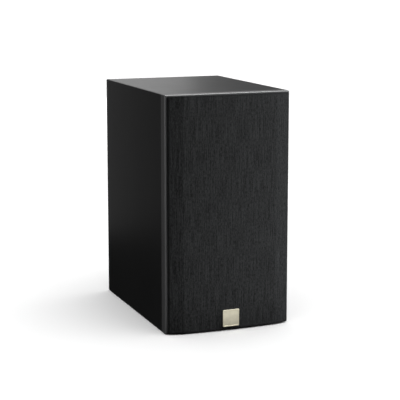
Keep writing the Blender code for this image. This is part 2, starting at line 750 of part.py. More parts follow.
def make_crossover():
    """The board is held on the terminal studs, with its parts towards the front."""
    face = BOARD_BACK - BOARD_THICK - GAP
    board = prism("crossover_board", [rounded_rectangle((0, 0), BOARD_SIZE, 2 * MM, 2)],
                  BOARD_BACK - BOARD_THICK, BOARD_BACK, "circuit_board", TERMINALS)
    for name, x in post_places():
        cut(board, hole(f"board_hole_{name}", (x, 0), POST_HOLE_RADIUS, -40 * MM, 0, TERMINALS))
    ring("woofer_inductor", 8 * MM, 17 * MM, face - 16 * MM, face, "copper_wire", TERMINALS,
         (23 * MM, 12 * MM, 0))
    ring("tweeter_inductor", 5 * MM, 11 * MM, face - 12 * MM, face, "copper_wire", TERMINALS,
         (-29 * MM, -17 * MM, 0))
    capacitor = disc("tweeter_capacitor", 8 * MM, -16 * MM, 16 * MM, "capacitor_film", TERMINALS,
                     (15 * MM, -19 * MM, face - 8 * MM), 24)
    capacitor.rotation_euler = (0, pi / 2, 0)
    box("tweeter_resistor", (-36 * MM, 6 * MM, face - 9 * MM), (-12 * MM, 15 * MM, face),
        "resistor_ceramic", TERMINALS)


# ---- grille --------------------------------------------------------------------------------------
def grille_section(inset):
    """The grille seen from above, with its front towards -Y; inset shrinks it all round its front."""
    side = WIDTH / 2 - GRILLE_MARGIN - inset
    rise = GRILLE_CROWN - GRILLE_SHOULDER
    radius = (SHOULDER_X**2 + rise**2) / (2 * rise)
    half_angle = degrees(asin(SHOULDER_X / radius))
    crown = arc((0, GRILLE_CROWN - radius), radius, 90 + half_angle, 90 - half_angle, 12)
    front = [(-side, GRILLE_EDGE)] + crown + [(side, GRILLE_EDGE)]
    section = [(-side, GRILLE_BACK)] + [(x, y - inset) for x, y in front] + [(side, GRILLE_BACK)]
    return [(x, -y) for x, y in section]


def peg_places():
    return [(x, z) for z in PEG_Z for x in (-PEG_X, PEG_X)]


def make_grille_frame():
    inset = CLOTH_THICK + CLOTH_TO_FRAME
    low, high = GRILLE_END_MARGIN + inset, HEIGHT - GRILLE_END_MARGIN - inset
    frame = prism("grille_frame", [grille_section(inset)], low, high, "black_plastic", PLAN)
    woofer_window = rounded_rectangle((0, 98.5 * MM), (139.4 * MM, 141 * MM), 50 * MM, 8)
    tweeter_window = rounded_rectangle((0, 228 * MM), (112 * MM, 94 * MM), 36 * MM, 8)
    for name, outline in (("woofer", woofer_window), ("tweeter", tweeter_window)):
        cut(frame, prism(f"{name}_window", [outline], 0, 2 * GRILLE_CROWN, None, FRONT))
    for number, (x, z) in enumerate(peg_places(), 1):
        join(frame, disc(f"grille_peg_{number}", PEG_RADIUS, BAFFLE_FRONT - 8 * MM, GRILLE_BACK + 1 * MM,
                         None, FRONT, (x, z, 0), SMALL))


def make_grille_cloth():
    low, high = GRILLE_END_MARGIN, HEIGHT - GRILLE_END_MARGIN
    cloth = prism("grille_cloth", [grille_section(0)], low, high, "grille_cloth", PLAN)
    inside = [(x, y + (GRILLE_BACK if abs(y + GRILLE_BACK) < MM / 100 else 0))
              for x, y in grille_section(CLOTH_THICK)]
    cut(cloth, prism("grille_cloth_inside", [inside], low + CLOTH_THICK, high - CLOTH_THICK, None, PLAN))


def make_peg_cups():
    for number, (x, z) in enumerate(peg_places(), 1):
        floor = BAFFLE_FRONT - PEG_CUP_DEPTH
        bore = PEG_RADIUS + GAP
        profile = [(0, floor + 1.5 * MM), (bore, floor + 1.5 * MM), (bore, BAFFLE_FRONT),
                   (PEG_CUP_RADIUS, BAFFLE_FRONT), (PEG_CUP_RADIUS, floor), (0, floor)]
        turned(f"grille_peg_cup_{number}", profile, "black_rubber", FRONT, (x, z, 0), SMALL, ring=False)


def make_badge():
    outline = rounded_rectangle((0, BADGE_Z), (BADGE_SIDE, BADGE_SIDE), 1.0 * MM, 4)
    low = GRILLE_CROWN + GAP
    badge = prism("badge", [outline], low, low + BADGE_THICK, "satin_champagne", FRONT)
    inner = BADGE_SIDE - 2 * BADGE_RIM
    cut(badge, prism("badge_dish", [rounded_rectangle((0, BADGE_Z), (inner, inner), 0.4 * MM, 2)],
                     low + BADGE_THICK - BADGE_DISH, low + 2 * BADGE_THICK, None, FRONT))


# ---- leads, in the baffle's own right, up and forward -----------------------------------------------
def make_leads():
    radius = 1.5 * MM
    board_front = -(SIDE_DEPTH + BOARD_BACK - BOARD_THICK) + GAP
    tube("woofer_lead", [
        (-38 * MM, 64 * MM, board_front),
        (-38 * MM, 66 * MM, board_front + 15 * MM),
        (-46 * MM, 100 * MM, -130 * MM),
        (-48 * MM, 135 * MM, -80 * MM),
        (-46 * MM, 140 * MM, -40 * MM),
        (-41 * MM, 139 * MM, -14 * MM),
    ], radius, "wire_sheath", FRONT)
    metal = TWEETER_PLATE_THICK + TWEETER_MAGNET_THICK + TWEETER_YOKE_THICK
    motor_depth = metal + 2 * GAP - TWEETER_PLATE_TOP
    tube("tweeter_lead", [
        (34 * MM, 112 * MM, board_front),
        (34 * MM, 114 * MM, board_front + 15 * MM),
        (44 * MM, 150 * MM, -140 * MM),
        (44 * MM, 200 * MM, -90 * MM),
        (34 * MM, 224 * MM, -40 * MM),
        (22 * MM, 228 * MM, -16 * MM),
        (20 * MM, 228 * MM, BAFFLE_FRONT - motor_depth - GAP),
    ], radius, "wire_sheath", FRONT)


make_cabinet_panels()
make_back_panel()
make_front_baffle()
make_wadding()
make_port_tube()
make_woofer()
make_tweeter()
make_terminal_cup()
for post_name, post_x in post_places():
    make_binding_post(post_name, post_x)
make_crossover()
make_leads()
make_peg_cups()
make_grille_frame()
make_grille_cloth()
make_badge()
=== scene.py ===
"""The looks of a two-way bookshelf speaker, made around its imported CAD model.

The frame is the CAD's own, in metres: +Z up, the grille faces -Y, the box stands on z = 0.
Shapes below are written in millimetres and become metres through MM; places come from the CAD nodes.
"""
import math

import bmesh
import bpy
from mathutils import Matrix, Vector, noise


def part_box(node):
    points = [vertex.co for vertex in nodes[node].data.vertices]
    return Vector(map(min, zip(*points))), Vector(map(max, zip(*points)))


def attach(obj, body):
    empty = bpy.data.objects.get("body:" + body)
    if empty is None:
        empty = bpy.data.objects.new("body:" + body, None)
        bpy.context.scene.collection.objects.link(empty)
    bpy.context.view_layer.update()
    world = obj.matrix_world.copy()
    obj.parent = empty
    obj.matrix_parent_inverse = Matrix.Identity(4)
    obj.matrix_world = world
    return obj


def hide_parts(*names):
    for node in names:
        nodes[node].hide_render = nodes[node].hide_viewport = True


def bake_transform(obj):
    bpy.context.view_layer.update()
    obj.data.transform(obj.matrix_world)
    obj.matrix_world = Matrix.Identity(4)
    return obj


MM = 0.001
TURN = 2 * math.pi

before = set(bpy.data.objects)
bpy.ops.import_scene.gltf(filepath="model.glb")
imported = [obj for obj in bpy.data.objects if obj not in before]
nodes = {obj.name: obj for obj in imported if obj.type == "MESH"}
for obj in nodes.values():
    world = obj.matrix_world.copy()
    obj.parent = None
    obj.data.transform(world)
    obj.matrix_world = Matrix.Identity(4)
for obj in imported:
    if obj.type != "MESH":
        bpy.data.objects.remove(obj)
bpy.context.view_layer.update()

CABINET, GRILLE = "cabinet", "grille"
WOOFER, TWEETER = "woofer_diaphragm", "tweeter_diaphragm"


# ---- places, from the CAD ----
def middle(node):
    low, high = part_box(node)
    return (low + high) / 2


def on_plane(node, y):
    """The middle of a node, moved along Y onto a plane."""
    centre = middle(node)
    return Vector((centre.x, y, centre.z))


BAFFLE_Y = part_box("front_baffle")[0].y
BACK_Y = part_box("back_panel")[1].y
WOOFER_AT = on_plane("woofer_trim_ring", BAFFLE_Y)
TWEETER_AT = on_plane("tweeter_faceplate", BAFFLE_Y)
PORT_AT = on_plane("port_tube", BACK_Y)
TERMINALS_AT = on_plane("terminal_cup", BACK_Y)
CUP_FLOOR = -20.0
SCREWS = range(1, 5)


def heights_of(node):
    """How far a node's back and its front stand off the baffle, in millimetres."""
    low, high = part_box(node)
    return (BAFFLE_Y - high.y) / MM, (BAFFLE_Y - low.y) / MM


def heights_behind(node):
    """How far a node's front and its back stand off the cabinet's back, in millimetres."""
    low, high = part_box(node)
    return (low.y - BACK_Y) / MM, (high.y - BACK_Y) / MM


# Local Z leaves the box through its front or through its back.
FORWARD = Matrix(((1, 0, 0), (0, 0, -1), (0, 1, 0))).to_4x4()
BACKWARD = Matrix(((-1, 0, 0), (0, 0, 1), (0, 1, 0))).to_4x4()


# ---- materials ----
class Graph:
    """A shader node tree, with a short way to add a node or to feed a socket."""

    def __init__(self, tree):
        self.tree = tree

    def feed(self, socket, value):
        if isinstance(value, bpy.types.NodeSocket):
            self.tree.links.new(value, socket)
        elif socket.type == "RGBA" and len(value) == 3:
            socket.default_value = (*value, 1)
        else:
            socket.default_value = value

    def node(self, kind, inputs=None, **settings):
        made = self.tree.nodes.new("ShaderNode" + kind)
        for key, value in settings.items():
            setattr(made, key, value)
        for key, value in (inputs or {}).items():
            self.feed(made.inputs[key], value)
        return made

    def math(self, operation, *values):
        return self.node("Math", dict(enumerate(values)), operation=operation).outputs[0]

    def levels(self, value, low, high, start=0.0, end=1.0, **settings):
        """Maps values from start..end onto low..high, and holds them there beyond the ends."""
        inputs = {"Value": value, "From Min": start, "From Max": end, "To Min": low, "To Max": high}
        return self.node("MapRange", inputs, **settings).outputs[0]


class Finish(Graph):
    """A material, with the patterns that its colour, roughness and relief are made from."""

    def __init__(self, name, **sockets):
        self.material = bpy.data.materials.new(name)
        self.material.use_nodes = True
        super().__init__(self.material.node_tree)
        self.shader = self.tree.nodes["Principled BSDF"]
        for socket, value in sockets.items():
            self.feed(self.shader.inputs[socket.replace("_", " ")], value)
        self.object = self.node("TexCoord").outputs["Object"]

    def stretched(self, vector, size_mm):
        """Coordinates that count features of the given size along each axis."""
        scale = [1 / (side * MM) for side in size_mm]
        return self.node("Mapping", {"Vector": vector, "Scale": scale}).outputs[0]

    def noise(self, size_mm, detail=3, roughness=0.55, vector=None):
        """Cloudy noise from 0 to 1, with features of the given size along each axis."""
        sides = size_mm if isinstance(size_mm, tuple) else (size_mm,) * 3
        place = self.stretched(vector or self.object, sides)
        settings = {"Vector": place, "Scale": 1, "Detail": detail, "Roughness": roughness}
        return self.node("TexNoise", settings).outputs[0]

    def cells(self, size_mm):
        """Distance to the nearest of scattered points, which lie about a size apart."""
        place = self.stretched(self.object, (size_mm,) * 3)
        return self.node("TexVoronoi", {"Vector": place, "Scale": 1}).outputs["Distance"]

    def mix(self, amount, first, second):
        inputs = {0: amount, 6: first, 7: second}
        return self.node("Mix", inputs, data_type="RGBA").outputs[2]

    def waves(self, value, pitch_mm):
        """Rounded ridges from 0 to 1, one for each pitch."""
        turns = self.math("MULTIPLY", value, math.pi / (pitch_mm * MM))
        return self.math("ABSOLUTE", self.math("SINE", turns))

    def axes(self, vector=None):
        return self.node("SeparateXYZ", {0: vector or self.object}).outputs

    def colour(self, value):
        self.feed(self.shader.inputs["Base Color"], value)

    def roughness(self, value):
        self.feed(self.shader.inputs["Roughness"], value)

    def bump(self, height, depth_mm, normal=None):
        """Relief of the given depth; reliefs stack by passing on the one before."""
        inputs = {"Height": height, "Distance": depth_mm * MM, "Strength": 1}
        if normal is not None:
            inputs["Normal"] = normal
        made = self.node("Bump", inputs).outputs[0]
        self.feed(self.shader.inputs["Normal"], made)
        return made


def satin_vinyl():
    """Smooth black wrap: a very fine leather-like grain and slow changes of sheen."""
    m = Finish("satin_black_vinyl", Specular_IOR_Level=0.5)
    drift = m.noise((60, 60, 180), 2)
    grain = m.noise(0.35, 4, 0.6)
    m.colour(m.mix(drift, (0.0042, 0.0043, 0.0045), (0.0062, 0.0062, 0.0065)))
    m.roughness(m.math("ADD", m.levels(drift, 0.34, 0.40), m.levels(grain, -0.03, 0.03)))
    m.bump(m.noise(22, 1), 0.03, m.bump(grain, 0.004))
    return m.material


def satin_lacquer():
    """Sprayed satin black lacquer, with its slight orange peel."""
    m = Finish("satin_black_lacquer", Specular_IOR_Level=0.8)
    peel = m.noise(2.4, 2)
    mist = m.noise(0.2, 3)
    m.colour(m.mix(m.noise(45, 2), (0.030, 0.030, 0.0308), (0.038, 0.038, 0.039)))
    m.roughness(m.math("ADD", m.levels(peel, 0.40, 0.46), m.levels(mist, -0.02, 0.03)))
    m.bump(peel, 0.006, m.bump(mist, 0.0015))
    return m.material


def plain_weave(m, cloth, pitch_mm):
    """The relief of threads crossing over and under each other, each a little wavy."""
    wobble = m.math("MULTIPLY", m.levels(m.noise((3, 9, 3), 2, 0.5, cloth), -1, 1), 0.22 * MM)
    half_turn = math.pi / (pitch_mm * MM)
    across = m.math("MULTIPLY", m.math("ADD", m.axes(cloth)[0], wobble), half_turn)
    up = m.math("MULTIPLY", m.math("ADD", m.axes(cloth)[1], wobble), half_turn)
    side, rise = m.math("SINE", across), m.math("SINE", up)
    over = m.levels(m.math("MULTIPLY", side, rise), 0, 1, -0.25, 0.25)
    warp = m.math("MULTIPLY", m.math("ABSOLUTE", side), over)
    weft = m.math("MULTIPLY", m.math("ABSOLUTE", rise), m.math("SUBTRACT", 1, over))
    return m.math("MAXIMUM", warp, weft)


def heather(m, cloth):
    """Which yarn shows, dark or pale: long and short slubs up the cloth, and a few across it."""
    slub = m.math("MULTIPLY", m.noise((1.0, 34, 1.0), 2, 0.6, cloth), 0.42)
    fine_slub = m.math("MULTIPLY", m.noise((0.8, 4, 0.8), 2, 0.5, cloth), 0.42)
    cross = m.math("MULTIPLY", m.noise((4, 0.9, 4), 2, 0.5, cloth), 0.16)
    return m.levels(m.math("ADD", m.math("ADD", slub, fine_slub), cross), 0, 1, 0.42, 0.58)


def painted_edge_shade(m):
    """A mask for painted shade, from 0 to 1 over the last of the grille's face, where the cloth is
    drawn round its edges.
    """
    low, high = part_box("grille_cloth")
    x, _, z = m.axes()
    fold, half_height = 2.4 * MM, (high.z - low.z) / 2
    from_middle = m.math("ABSOLUTE", m.math("SUBTRACT", z, (low.z + high.z) / 2))
    ends = m.levels(from_middle, 0, 1, half_height - fold, half_height)
    sides = m.levels(m.math("ABSOLUTE", x), 0, 1, high.x - fold, high.x)
    return m.math("MAXIMUM", ends, sides)


def grille_weave():
    """Heathered plain weave: slubby threads up the cloth and plain ones across, 0.8 mm apart.

    The cloth's UV map holds metres along the cloth, so the weave follows it round its edges.
    """
    m = Finish("heathered_grille_cloth", Specular_IOR_Level=0.12, Sheen_Weight=0.06,
               Sheen_Roughness=0.5, Sheen_Tint=(0.75, 0.8, 0.85), Roughness=0.85)
    cloth = m.node("TexCoord").outputs["UV"]
    thread = plain_weave(m, cloth, 0.8)
    yarn = m.mix(heather(m, cloth), (0.0028, 0.0029, 0.0030), (0.034, 0.0355, 0.0363))
    # Painted shade: the cloth's colour is darkened over its folded edges, standing in for the shadow in
    # the gap along the baffle.
    shade = m.math("MULTIPLY", m.levels(thread, 0.35, 1.0), m.levels(painted_edge_shade(m), 1.0, 0.06))
    m.colour(m.mix(shade, (0.002, 0.002, 0.002), yarn))
    m.bump(thread, 0.22, m.bump(m.noise(0.12, 2, 0.6, cloth), 0.03))
    return m.material


def moulded_plastic(name, dark, light, rough=0.5, grain_mm=0.45):
    """Moulded plastic, or thick paint, with a fine even texture."""
    m = Finish(name)
    grain = m.noise(grain_mm, 3, 0.6)
    m.colour(m.mix(m.noise(12, 2), dark, light))
    handling = m.levels(m.noise(30, 1), 0, 0.05)
    m.roughness(m.math("ADD", m.levels(grain, rough - 0.07, rough + 0.07), handling))
    m.bump(grain, 0.018)
    return m.material


def satin_champagne():
    """Anodised metal, brushed from side to side and blasted until it is half matt."""
    m = Finish("satin_champagne", Metallic=0.45)
    lines = m.noise((9, 0.09, 9), 3, 0.65)
    shade = m.levels(m.math("ADD", lines, m.noise(7, 2)), 0, 1, 0.7, 1.3)
    m.colour(m.mix(shade, (0.66, 0.62, 0.48), (0.80, 0.755, 0.59)))
    m.roughness(m.levels(lines, 0.36, 0.50))
    m.bump(lines, 0.004)
    return m.material


def turned_metal(name, dark, light, rough, pitch_mm=0.16):
    """Metal turned on a lathe: fine rings round the piece's own Z axis."""
    m = Finish(name, Metallic=1)
    x, y, z = m.axes()
    radius = m.math("SQRT", m.math("ADD", m.math("MULTIPLY", x, x), m.math("MULTIPLY", y, y)))
    rings = m.waves(m.math("ADD", radius, z), pitch_mm)
    m.colour(m.mix(m.noise(4, 3), dark, light))
    stains = m.levels(m.noise(2, 3), -0.04, 0.06)
    m.roughness(m.math("ADD", m.levels(rings, rough - 0.04, rough + 0.04), stains))
    m.bump(rings, 0.003)
    return m.material


def pressed_fibre():
    """Pressed paper pulp with paler wood fibres lying every way."""
    m = Finish("pressed_fibre_cone", Specular_IOR_Level=0.35, Coat_Weight=0.12, Coat_Roughness=0.45)
    strands = None
    for angle in range(0, 180, 36):
        turned = m.node("Mapping", {"Vector": m.object, "Rotation": (0, 0, math.radians(angle)),
                                    "Location": (angle * MM, 0, 0)}).outputs[0]
        strand = m.levels(m.noise((0.35, 6, 3), 1, 0.4, turned), 0, 1, 0.66, 0.74)
        strands = strand if strands is None else m.math("MAXIMUM", strands, strand)
    pulp = m.mix(m.noise(3, 4, 0.7), (0.055, 0.014, 0.007), (0.105, 0.030, 0.014))
    m.colour(m.mix(m.math("MULTIPLY", strands, 0.55), pulp, (0.30, 0.14, 0.065)))
    m.roughness(m.levels(m.noise(0.7, 3), 0.42, 0.62))
    m.bump(strands, 0.03, m.bump(m.noise(0.9, 4, 0.7), 0.06))
    return m.material


def rubber():
    """Matt black rubber with a faint bloom."""
    m = Finish("butyl_rubber", Specular_IOR_Level=0.4)
    bloom = m.noise(9, 4, 0.65)
    m.colour(m.mix(m.levels(bloom, 0, 1, 0.35, 0.75), (0.007, 0.007, 0.007), (0.020, 0.020, 0.021)))
    m.roughness(m.levels(bloom, 0.47, 0.63))
    m.bump(m.noise(0.25, 3), 0.006)
    return m.material


def fine_cloth(name, dark, light, pitch_mm, rough, relief_mm, **sockets):
    """A fine plain weave across the piece's own X and Y."""
    m = Finish(name, **sockets)
    x, y, _ = m.axes()
    side = m.math("SINE", m.math("MULTIPLY", x, math.pi / (pitch_mm * MM)))
    rise = m.math("SINE", m.math("MULTIPLY", y, math.pi / (pitch_mm * MM)))
    thread = m.math("ABSOLUTE", m.math("ADD", side, rise))
    m.colour(m.mix(m.math("MULTIPLY", m.levels(thread, 0.2, 1, 0, 2), m.noise(1.5, 3)), dark, light))
    m.roughness(m.levels(m.noise(1.2, 3), rough - 0.06, rough + 0.06))
    m.bump(thread, relief_mm)
    return m.material


def ground_ferrite():
    """Pressed magnet: dark grey, grainy, with grinding marks."""
    m = Finish("ground_ferrite", Specular_IOR_Level=0.6)
    marks = m.noise((14, 0.5, 14), 3)
    pits = m.cells(0.9)
    m.colour(m.mix(marks, (0.018, 0.018, 0.019), (0.045, 0.045, 0.048)))
    m.roughness(m.levels(marks, 0.38, 0.62))
    m.bump(marks, 0.01, m.bump(m.levels(pits, 0, 1, 0, 0.35), 0.04))
    return m.material


def wound_copper():
    """Enamelled copper wire: each turn a ridge, under a clear amber coat."""
    m = Finish("enamelled_copper_wire", Metallic=1, Coat_Weight=0.8, Coat_Roughness=0.12)
    m.colour(m.mix(m.noise((5, 5, 0.4), 3), (0.36, 0.11, 0.035), (0.66, 0.26, 0.10)))
    m.roughness(m.levels(m.noise(0.6, 2), 0.24, 0.4))
    m.bump(m.waves(m.axes()[2], 0.28), 0.05)
    return m.material


def grained(name, grain, dark, light, rough, relief_mm, **sockets):
    """A surface whose colour, roughness and relief all follow one grain."""
    m = Finish(name, **sockets)
    fibre = m.noise(*grain)
    m.colour(m.mix(fibre, dark, light))
    m.roughness(m.levels(fibre, *rough))
    m.bump(fibre, relief_mm)
    return m.material


def white_wadding():
    """Loose white polyester fibre."""
    m = Finish("white_polyester_wadding", Specular_IOR_Level=0.2, Sheen_Weight=0.6, Sheen_Roughness=0.5)
    hair = m.noise((0.4, 5, 5), 4, 0.7)
    curl = m.noise((5, 0.4, 4), 4, 0.7)
    m.colour(m.mix(m.math("MULTIPLY", hair, curl), (0.55, 0.55, 0.53), (0.86, 0.86, 0.84)))
    m.roughness(m.levels(hair, 0.85, 1))
    m.bump(m.math("ADD", hair, curl), 0.5)
    return m.material


def taped_film():
    """A film capacitor's blue sleeve, wound in tape along its length."""
    m = Finish("blue_film_sleeve", Coat_Weight=0.5, Coat_Roughness=0.15)
    slip = m.math("MULTIPLY", m.noise(12, 2), 0.4 * MM)
    wrap = m.waves(m.math("ADD", m.axes()[2], slip), 4.0)
    m.colour(m.mix(wrap, (0.010, 0.028, 0.10), (0.020, 0.055, 0.19)))
    m.roughness(m.levels(m.noise(1.5, 3), 0.2, 0.36))
    m.bump(wrap, 0.05)
    return m.material


def cement():
    m = Finish("white_cement", Specular_IOR_Level=0.35)
    grit = m.noise(0.5, 4, 0.7)
    m.colour(m.mix(grit, (0.52, 0.50, 0.45), (0.76, 0.74, 0.68)))
    m.roughness(m.levels(grit, 0.7, 0.95))
    m.bump(m.cells(1.1), 0.08, m.bump(grit, 0.05))
    return m.material


FINISHES = {
    "cabinet_vinyl": satin_vinyl(),
    "baffle_lacquer": satin_lacquer(),
    "grille_cloth": grille_weave(),
    "black_plastic": moulded_plastic("textured_black_plastic", (0.008, 0.008, 0.008),
                                     (0.013, 0.013, 0.014)),
    "satin_champagne": satin_champagne(),
    "cone_paper": pressed_fibre(),
    "black_rubber": rubber(),
    "dome_silk": fine_cloth("coated_dome_cloth", (0.006, 0.006, 0.007), (0.022, 0.022, 0.024),
                            pitch_mm=0.22, rough=0.4, relief_mm=0.02, Coat_Weight=0.35,
                            Coat_Roughness=0.3),
    "steel": turned_metal("zinc_plated_steel", (0.42, 0.42, 0.41), (0.58, 0.58, 0.59), 0.3),
    "black_steel": moulded_plastic("black_painted_steel", (0.010, 0.010, 0.010), (0.020, 0.020, 0.020),
                                   rough=0.36, grain_mm=0.3),
    "ferrite": ground_ferrite(),
    "copper_wire": wound_copper(),
    "former_paper": grained("kraft_paper", ((0.3, 0.3, 2.5), 4, 0.7), (0.26, 0.16, 0.075),
                            (0.42, 0.28, 0.14), (0.6, 0.85), 0.03, Specular_IOR_Level=0.3),
    "spider_cloth": fine_cloth("resin_set_cloth", (0.30, 0.18, 0.05), (0.58, 0.38, 0.14),
                               pitch_mm=0.7, rough=0.6, relief_mm=0.12),
    "wadding": white_wadding(),
    "gold_plate": turned_metal("gold_plate", (0.72, 0.48, 0.17), (0.90, 0.66, 0.28), 0.18, 0.3),
    "red_plastic": moulded_plastic("textured_red_plastic", (0.30, 0.006, 0.006), (0.42, 0.012, 0.010),
                                   rough=0.36),
    "circuit_board": grained("paper_laminate_board", ((0.5, 0.5, 4), 4, 0.7), (0.11, 0.055, 0.018),
                             (0.22, 0.125, 0.045), (0.35, 0.55), 0.02, Coat_Weight=0.3,
                             Coat_Roughness=0.3),
    "capacitor_film": taped_film(),
    "resistor_ceramic": cement(),
    "wire_sheath": grained("wire_sheath", ((2, 2, 5), 2), (0.010, 0.010, 0.010), (0.024, 0.024, 0.025),
                           (0.35, 0.5), 0.08, Specular_IOR_Level=0.45),
}


# ---- shapes ----
def add_object(name, data):
    """An object in the scene for a mesh, a curve, a light or a camera."""
    obj = bpy.data.objects.new(name, data)
    bpy.context.scene.collection.objects.link(obj)
    return obj


def take_mesh(obj, name):
    """The mesh that an object's modifiers or curve make; the object itself is removed."""
    graph = bpy.context.evaluated_depsgraph_get()
    mesh = bpy.data.meshes.new_from_object(obj.evaluated_get(graph))
    bpy.data.objects.remove(obj)
    mesh.name = name
    return mesh


def rounded(corners, steps=4, closed=True):
    """An outline through (x, y, radius) corners, each cut by a curve that starts a radius away."""
    points = []
    for index, (x, y, radius) in enumerate(corners):
        corner = Vector((x, y))
        if radius <= 0 or (not closed and index in (0, len(corners) - 1)):
            points.append(corner)
            continue
        before = Vector(corners[index - 1][:2]) - corner
        after = Vector(corners[(index + 1) % len(corners)][:2]) - corner
        reach = min(radius, 0.49 * before.length, 0.49 * after.length)
        start, end = corner + before.normalized() * reach, corner + after.normalized() * reach
        for step in range(steps + 1):
            t = step / steps
            points.append(start * (1 - t) ** 2 + corner * 2 * t * (1 - t) + end * t**2)
    return points


def piece(name, mesh, place, body, slot, stands_for=()):
    """A finished mesh as a piece of the speaker, riding on a body and standing for CAD nodes."""
    obj = add_object(name, mesh)
    obj.matrix_world = place
    if not mesh.materials:
        mesh.materials.append(FINISHES[slot])
    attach(obj, body)
    if stands_for:
        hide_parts(*stands_for)
    even = obj.modifiers.new("even_shading", "WEIGHTED_NORMAL")
    even.keep_sharp, even.weight = True, 100
    return obj


def to_mesh(name, bm, sharp_degrees=32):
    """Turns a bmesh into a smooth mesh, with sharp edges where its faces meet at an angle."""
    bmesh.ops.remove_doubles(bm, verts=bm.verts, dist=1e-7)
    bmesh.ops.recalc_face_normals(bm, faces=bm.faces)
    limit = math.radians(sharp_degrees)
    for face in bm.faces:
        face.smooth = True
    for edge in bm.edges:
        edge.smooth = len(edge.link_faces) == 2 and edge.calc_face_angle(0) < limit
    mesh = bpy.data.meshes.new(name)
    bm.to_mesh(mesh)
    bm.free()
    return mesh


def lathe_mesh(name, profile, steps=96, closed=True, shape=None, sharp_degrees=32):
    """A profile of (radius, height) in millimetres turned about Z; shape may change each radius."""
    bm = bmesh.new()
    rings = []
    for radius, height in profile:
        ring = []
        for step in range(1 if radius < 1e-6 else steps):
            angle = TURN * step / steps
            reach = (shape(radius, height, angle) if shape else radius) * MM
            ring.append(bm.verts.new((reach * math.cos(angle), reach * math.sin(angle), height * MM)))
        rings.append(ring)
    pairs = list(zip(rings, rings[1:]))
    if closed:
        pairs.append((rings[-1], rings[0]))
    for low, high in pairs:
        for step in range(steps):
            corners = [low[step % len(low)], low[(step + 1) % steps % len(low)],
                       high[(step + 1) % steps % len(high)], high[step % len(high)]]
            corners = list(dict.fromkeys(corners))
            if len(corners) > 2:
                bm.faces.new(corners)
    return to_mesh(name, bm, sharp_degrees)


def place_at(at, facing):
    """The place of a shape made round its own Z: at a point, with that Z facing out of the box."""
    return Matrix.Translation(at) @ facing


def loft_mesh(name, loops, sharp_degrees=32):
    """Closed outlines of equal count, each with its height, joined in turn and filled at both ends."""
    bm = bmesh.new()
    rings = []
    for outline, height in loops:
        rings.append([bm.verts.new((x * MM, y * MM, height * MM)) for x, y in outline])
    for low, high in zip(rings, rings[1:]):
        for index in range(len(low)):
            after = (index + 1) % len(low)
            bm.faces.new((low[index], low[after], high[after], high[index]))
    bm.faces.new(rings[0])
    bm.faces.new(rings[-1])
    return to_mesh(name, bm, sharp_degrees)


def box_loops(width, height, levels):
    """A box's rounded outlines for loft_mesh, one for each (inset, corner radius, height)."""
    loops = []
    for inset, radius, level in levels:
        x, y = (width - inset) / 2, (height - inset) / 2
        corners = [(x, -y, radius), (x, y, radius), (-x, y, radius), (-x, -y, radius)]
        loops.append((rounded(corners, 6), level))
    return loops


def plus_sign(size, width):
    """The outline of a plus."""
    a, b = size / 2, width / 2
    return [(b, -a), (b, -b), (a, -b), (a, b), (b, b), (b, a),
            (-b, a), (-b, b), (-a, b), (-a, -b), (-b, -b), (-b, -a)]


def join_meshes(target, *others):
    """Adds other meshes, each with its place, to the target mesh."""
    bm = bmesh.new()
    bm.from_mesh(target)
    for mesh, place in others:
        part = mesh.copy()
        part.transform(place)
        bm.from_mesh(part)
        bpy.data.meshes.remove(part)
    bm.to_mesh(target)
    bm.free()


def carve(mesh, tool):
    """Cuts the tool's shape out of a mesh."""
    solid, cutter = add_object("solid", mesh), add_object("cutter", tool)
    modifier = solid.modifiers.new("cut", "BOOLEAN")
    modifier.operation, modifier.object, modifier.solver = "DIFFERENCE", cutter, "EXACT"
    bm = bmesh.new()
    bm.from_mesh(take_mesh(solid, "carved"))
    bpy.data.objects.remove(cutter)
    return to_mesh(mesh.name, bm)


# ---- grille ----
def grille_section():
    """The cloth's outer face seen from above, left to right: (x, height off the baffle)."""
    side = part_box("grille_cloth")[1].x / MM
    back, crown = heights_of("grille_cloth")
    edge, shoulder, shoulder_x = back + 3.3, crown - 2.2, 61.0
    rise = crown - shoulder
    radius = (shoulder_x**2 + rise**2) / (2 * rise)
    arc_steps = 24
    arc = []
    for step in range(1, arc_steps):
        x = shoulder_x * (2 * step / arc_steps - 1)
        arc.append((x, crown - radius + math.sqrt(radius**2 - x**2), 0))
    left = [(-side, back, 0), (-side, edge, 1.1), (-shoulder_x, shoulder, 1.2)]
    right = [(-x, y, r) for x, y, r in reversed(left)]
    return rounded(left + arc + right, 5, closed=False)


def grille_column(height, back, reach, rows):
    """One vertical line of the cloth: (z from the middle, height off the baffle), bottom to top."""
    widest_fold, share_of_side, no_fold = 1.1, 0.9, 0.001
    fold = max(no_fold, min(widest_fold, share_of_side * (height - back)))
    corners = [(-reach, back, 0), (-reach, height, fold), (reach, height, fold), (reach, back, 0)]
    outline = rounded(corners, closed=False)
    half = len(outline) // 2
    bottom, top = outline[:half], outline[half:]
    between = [bottom[-1].lerp(top[0], row / rows) for row in range(1, rows)]
    return bottom + between + top


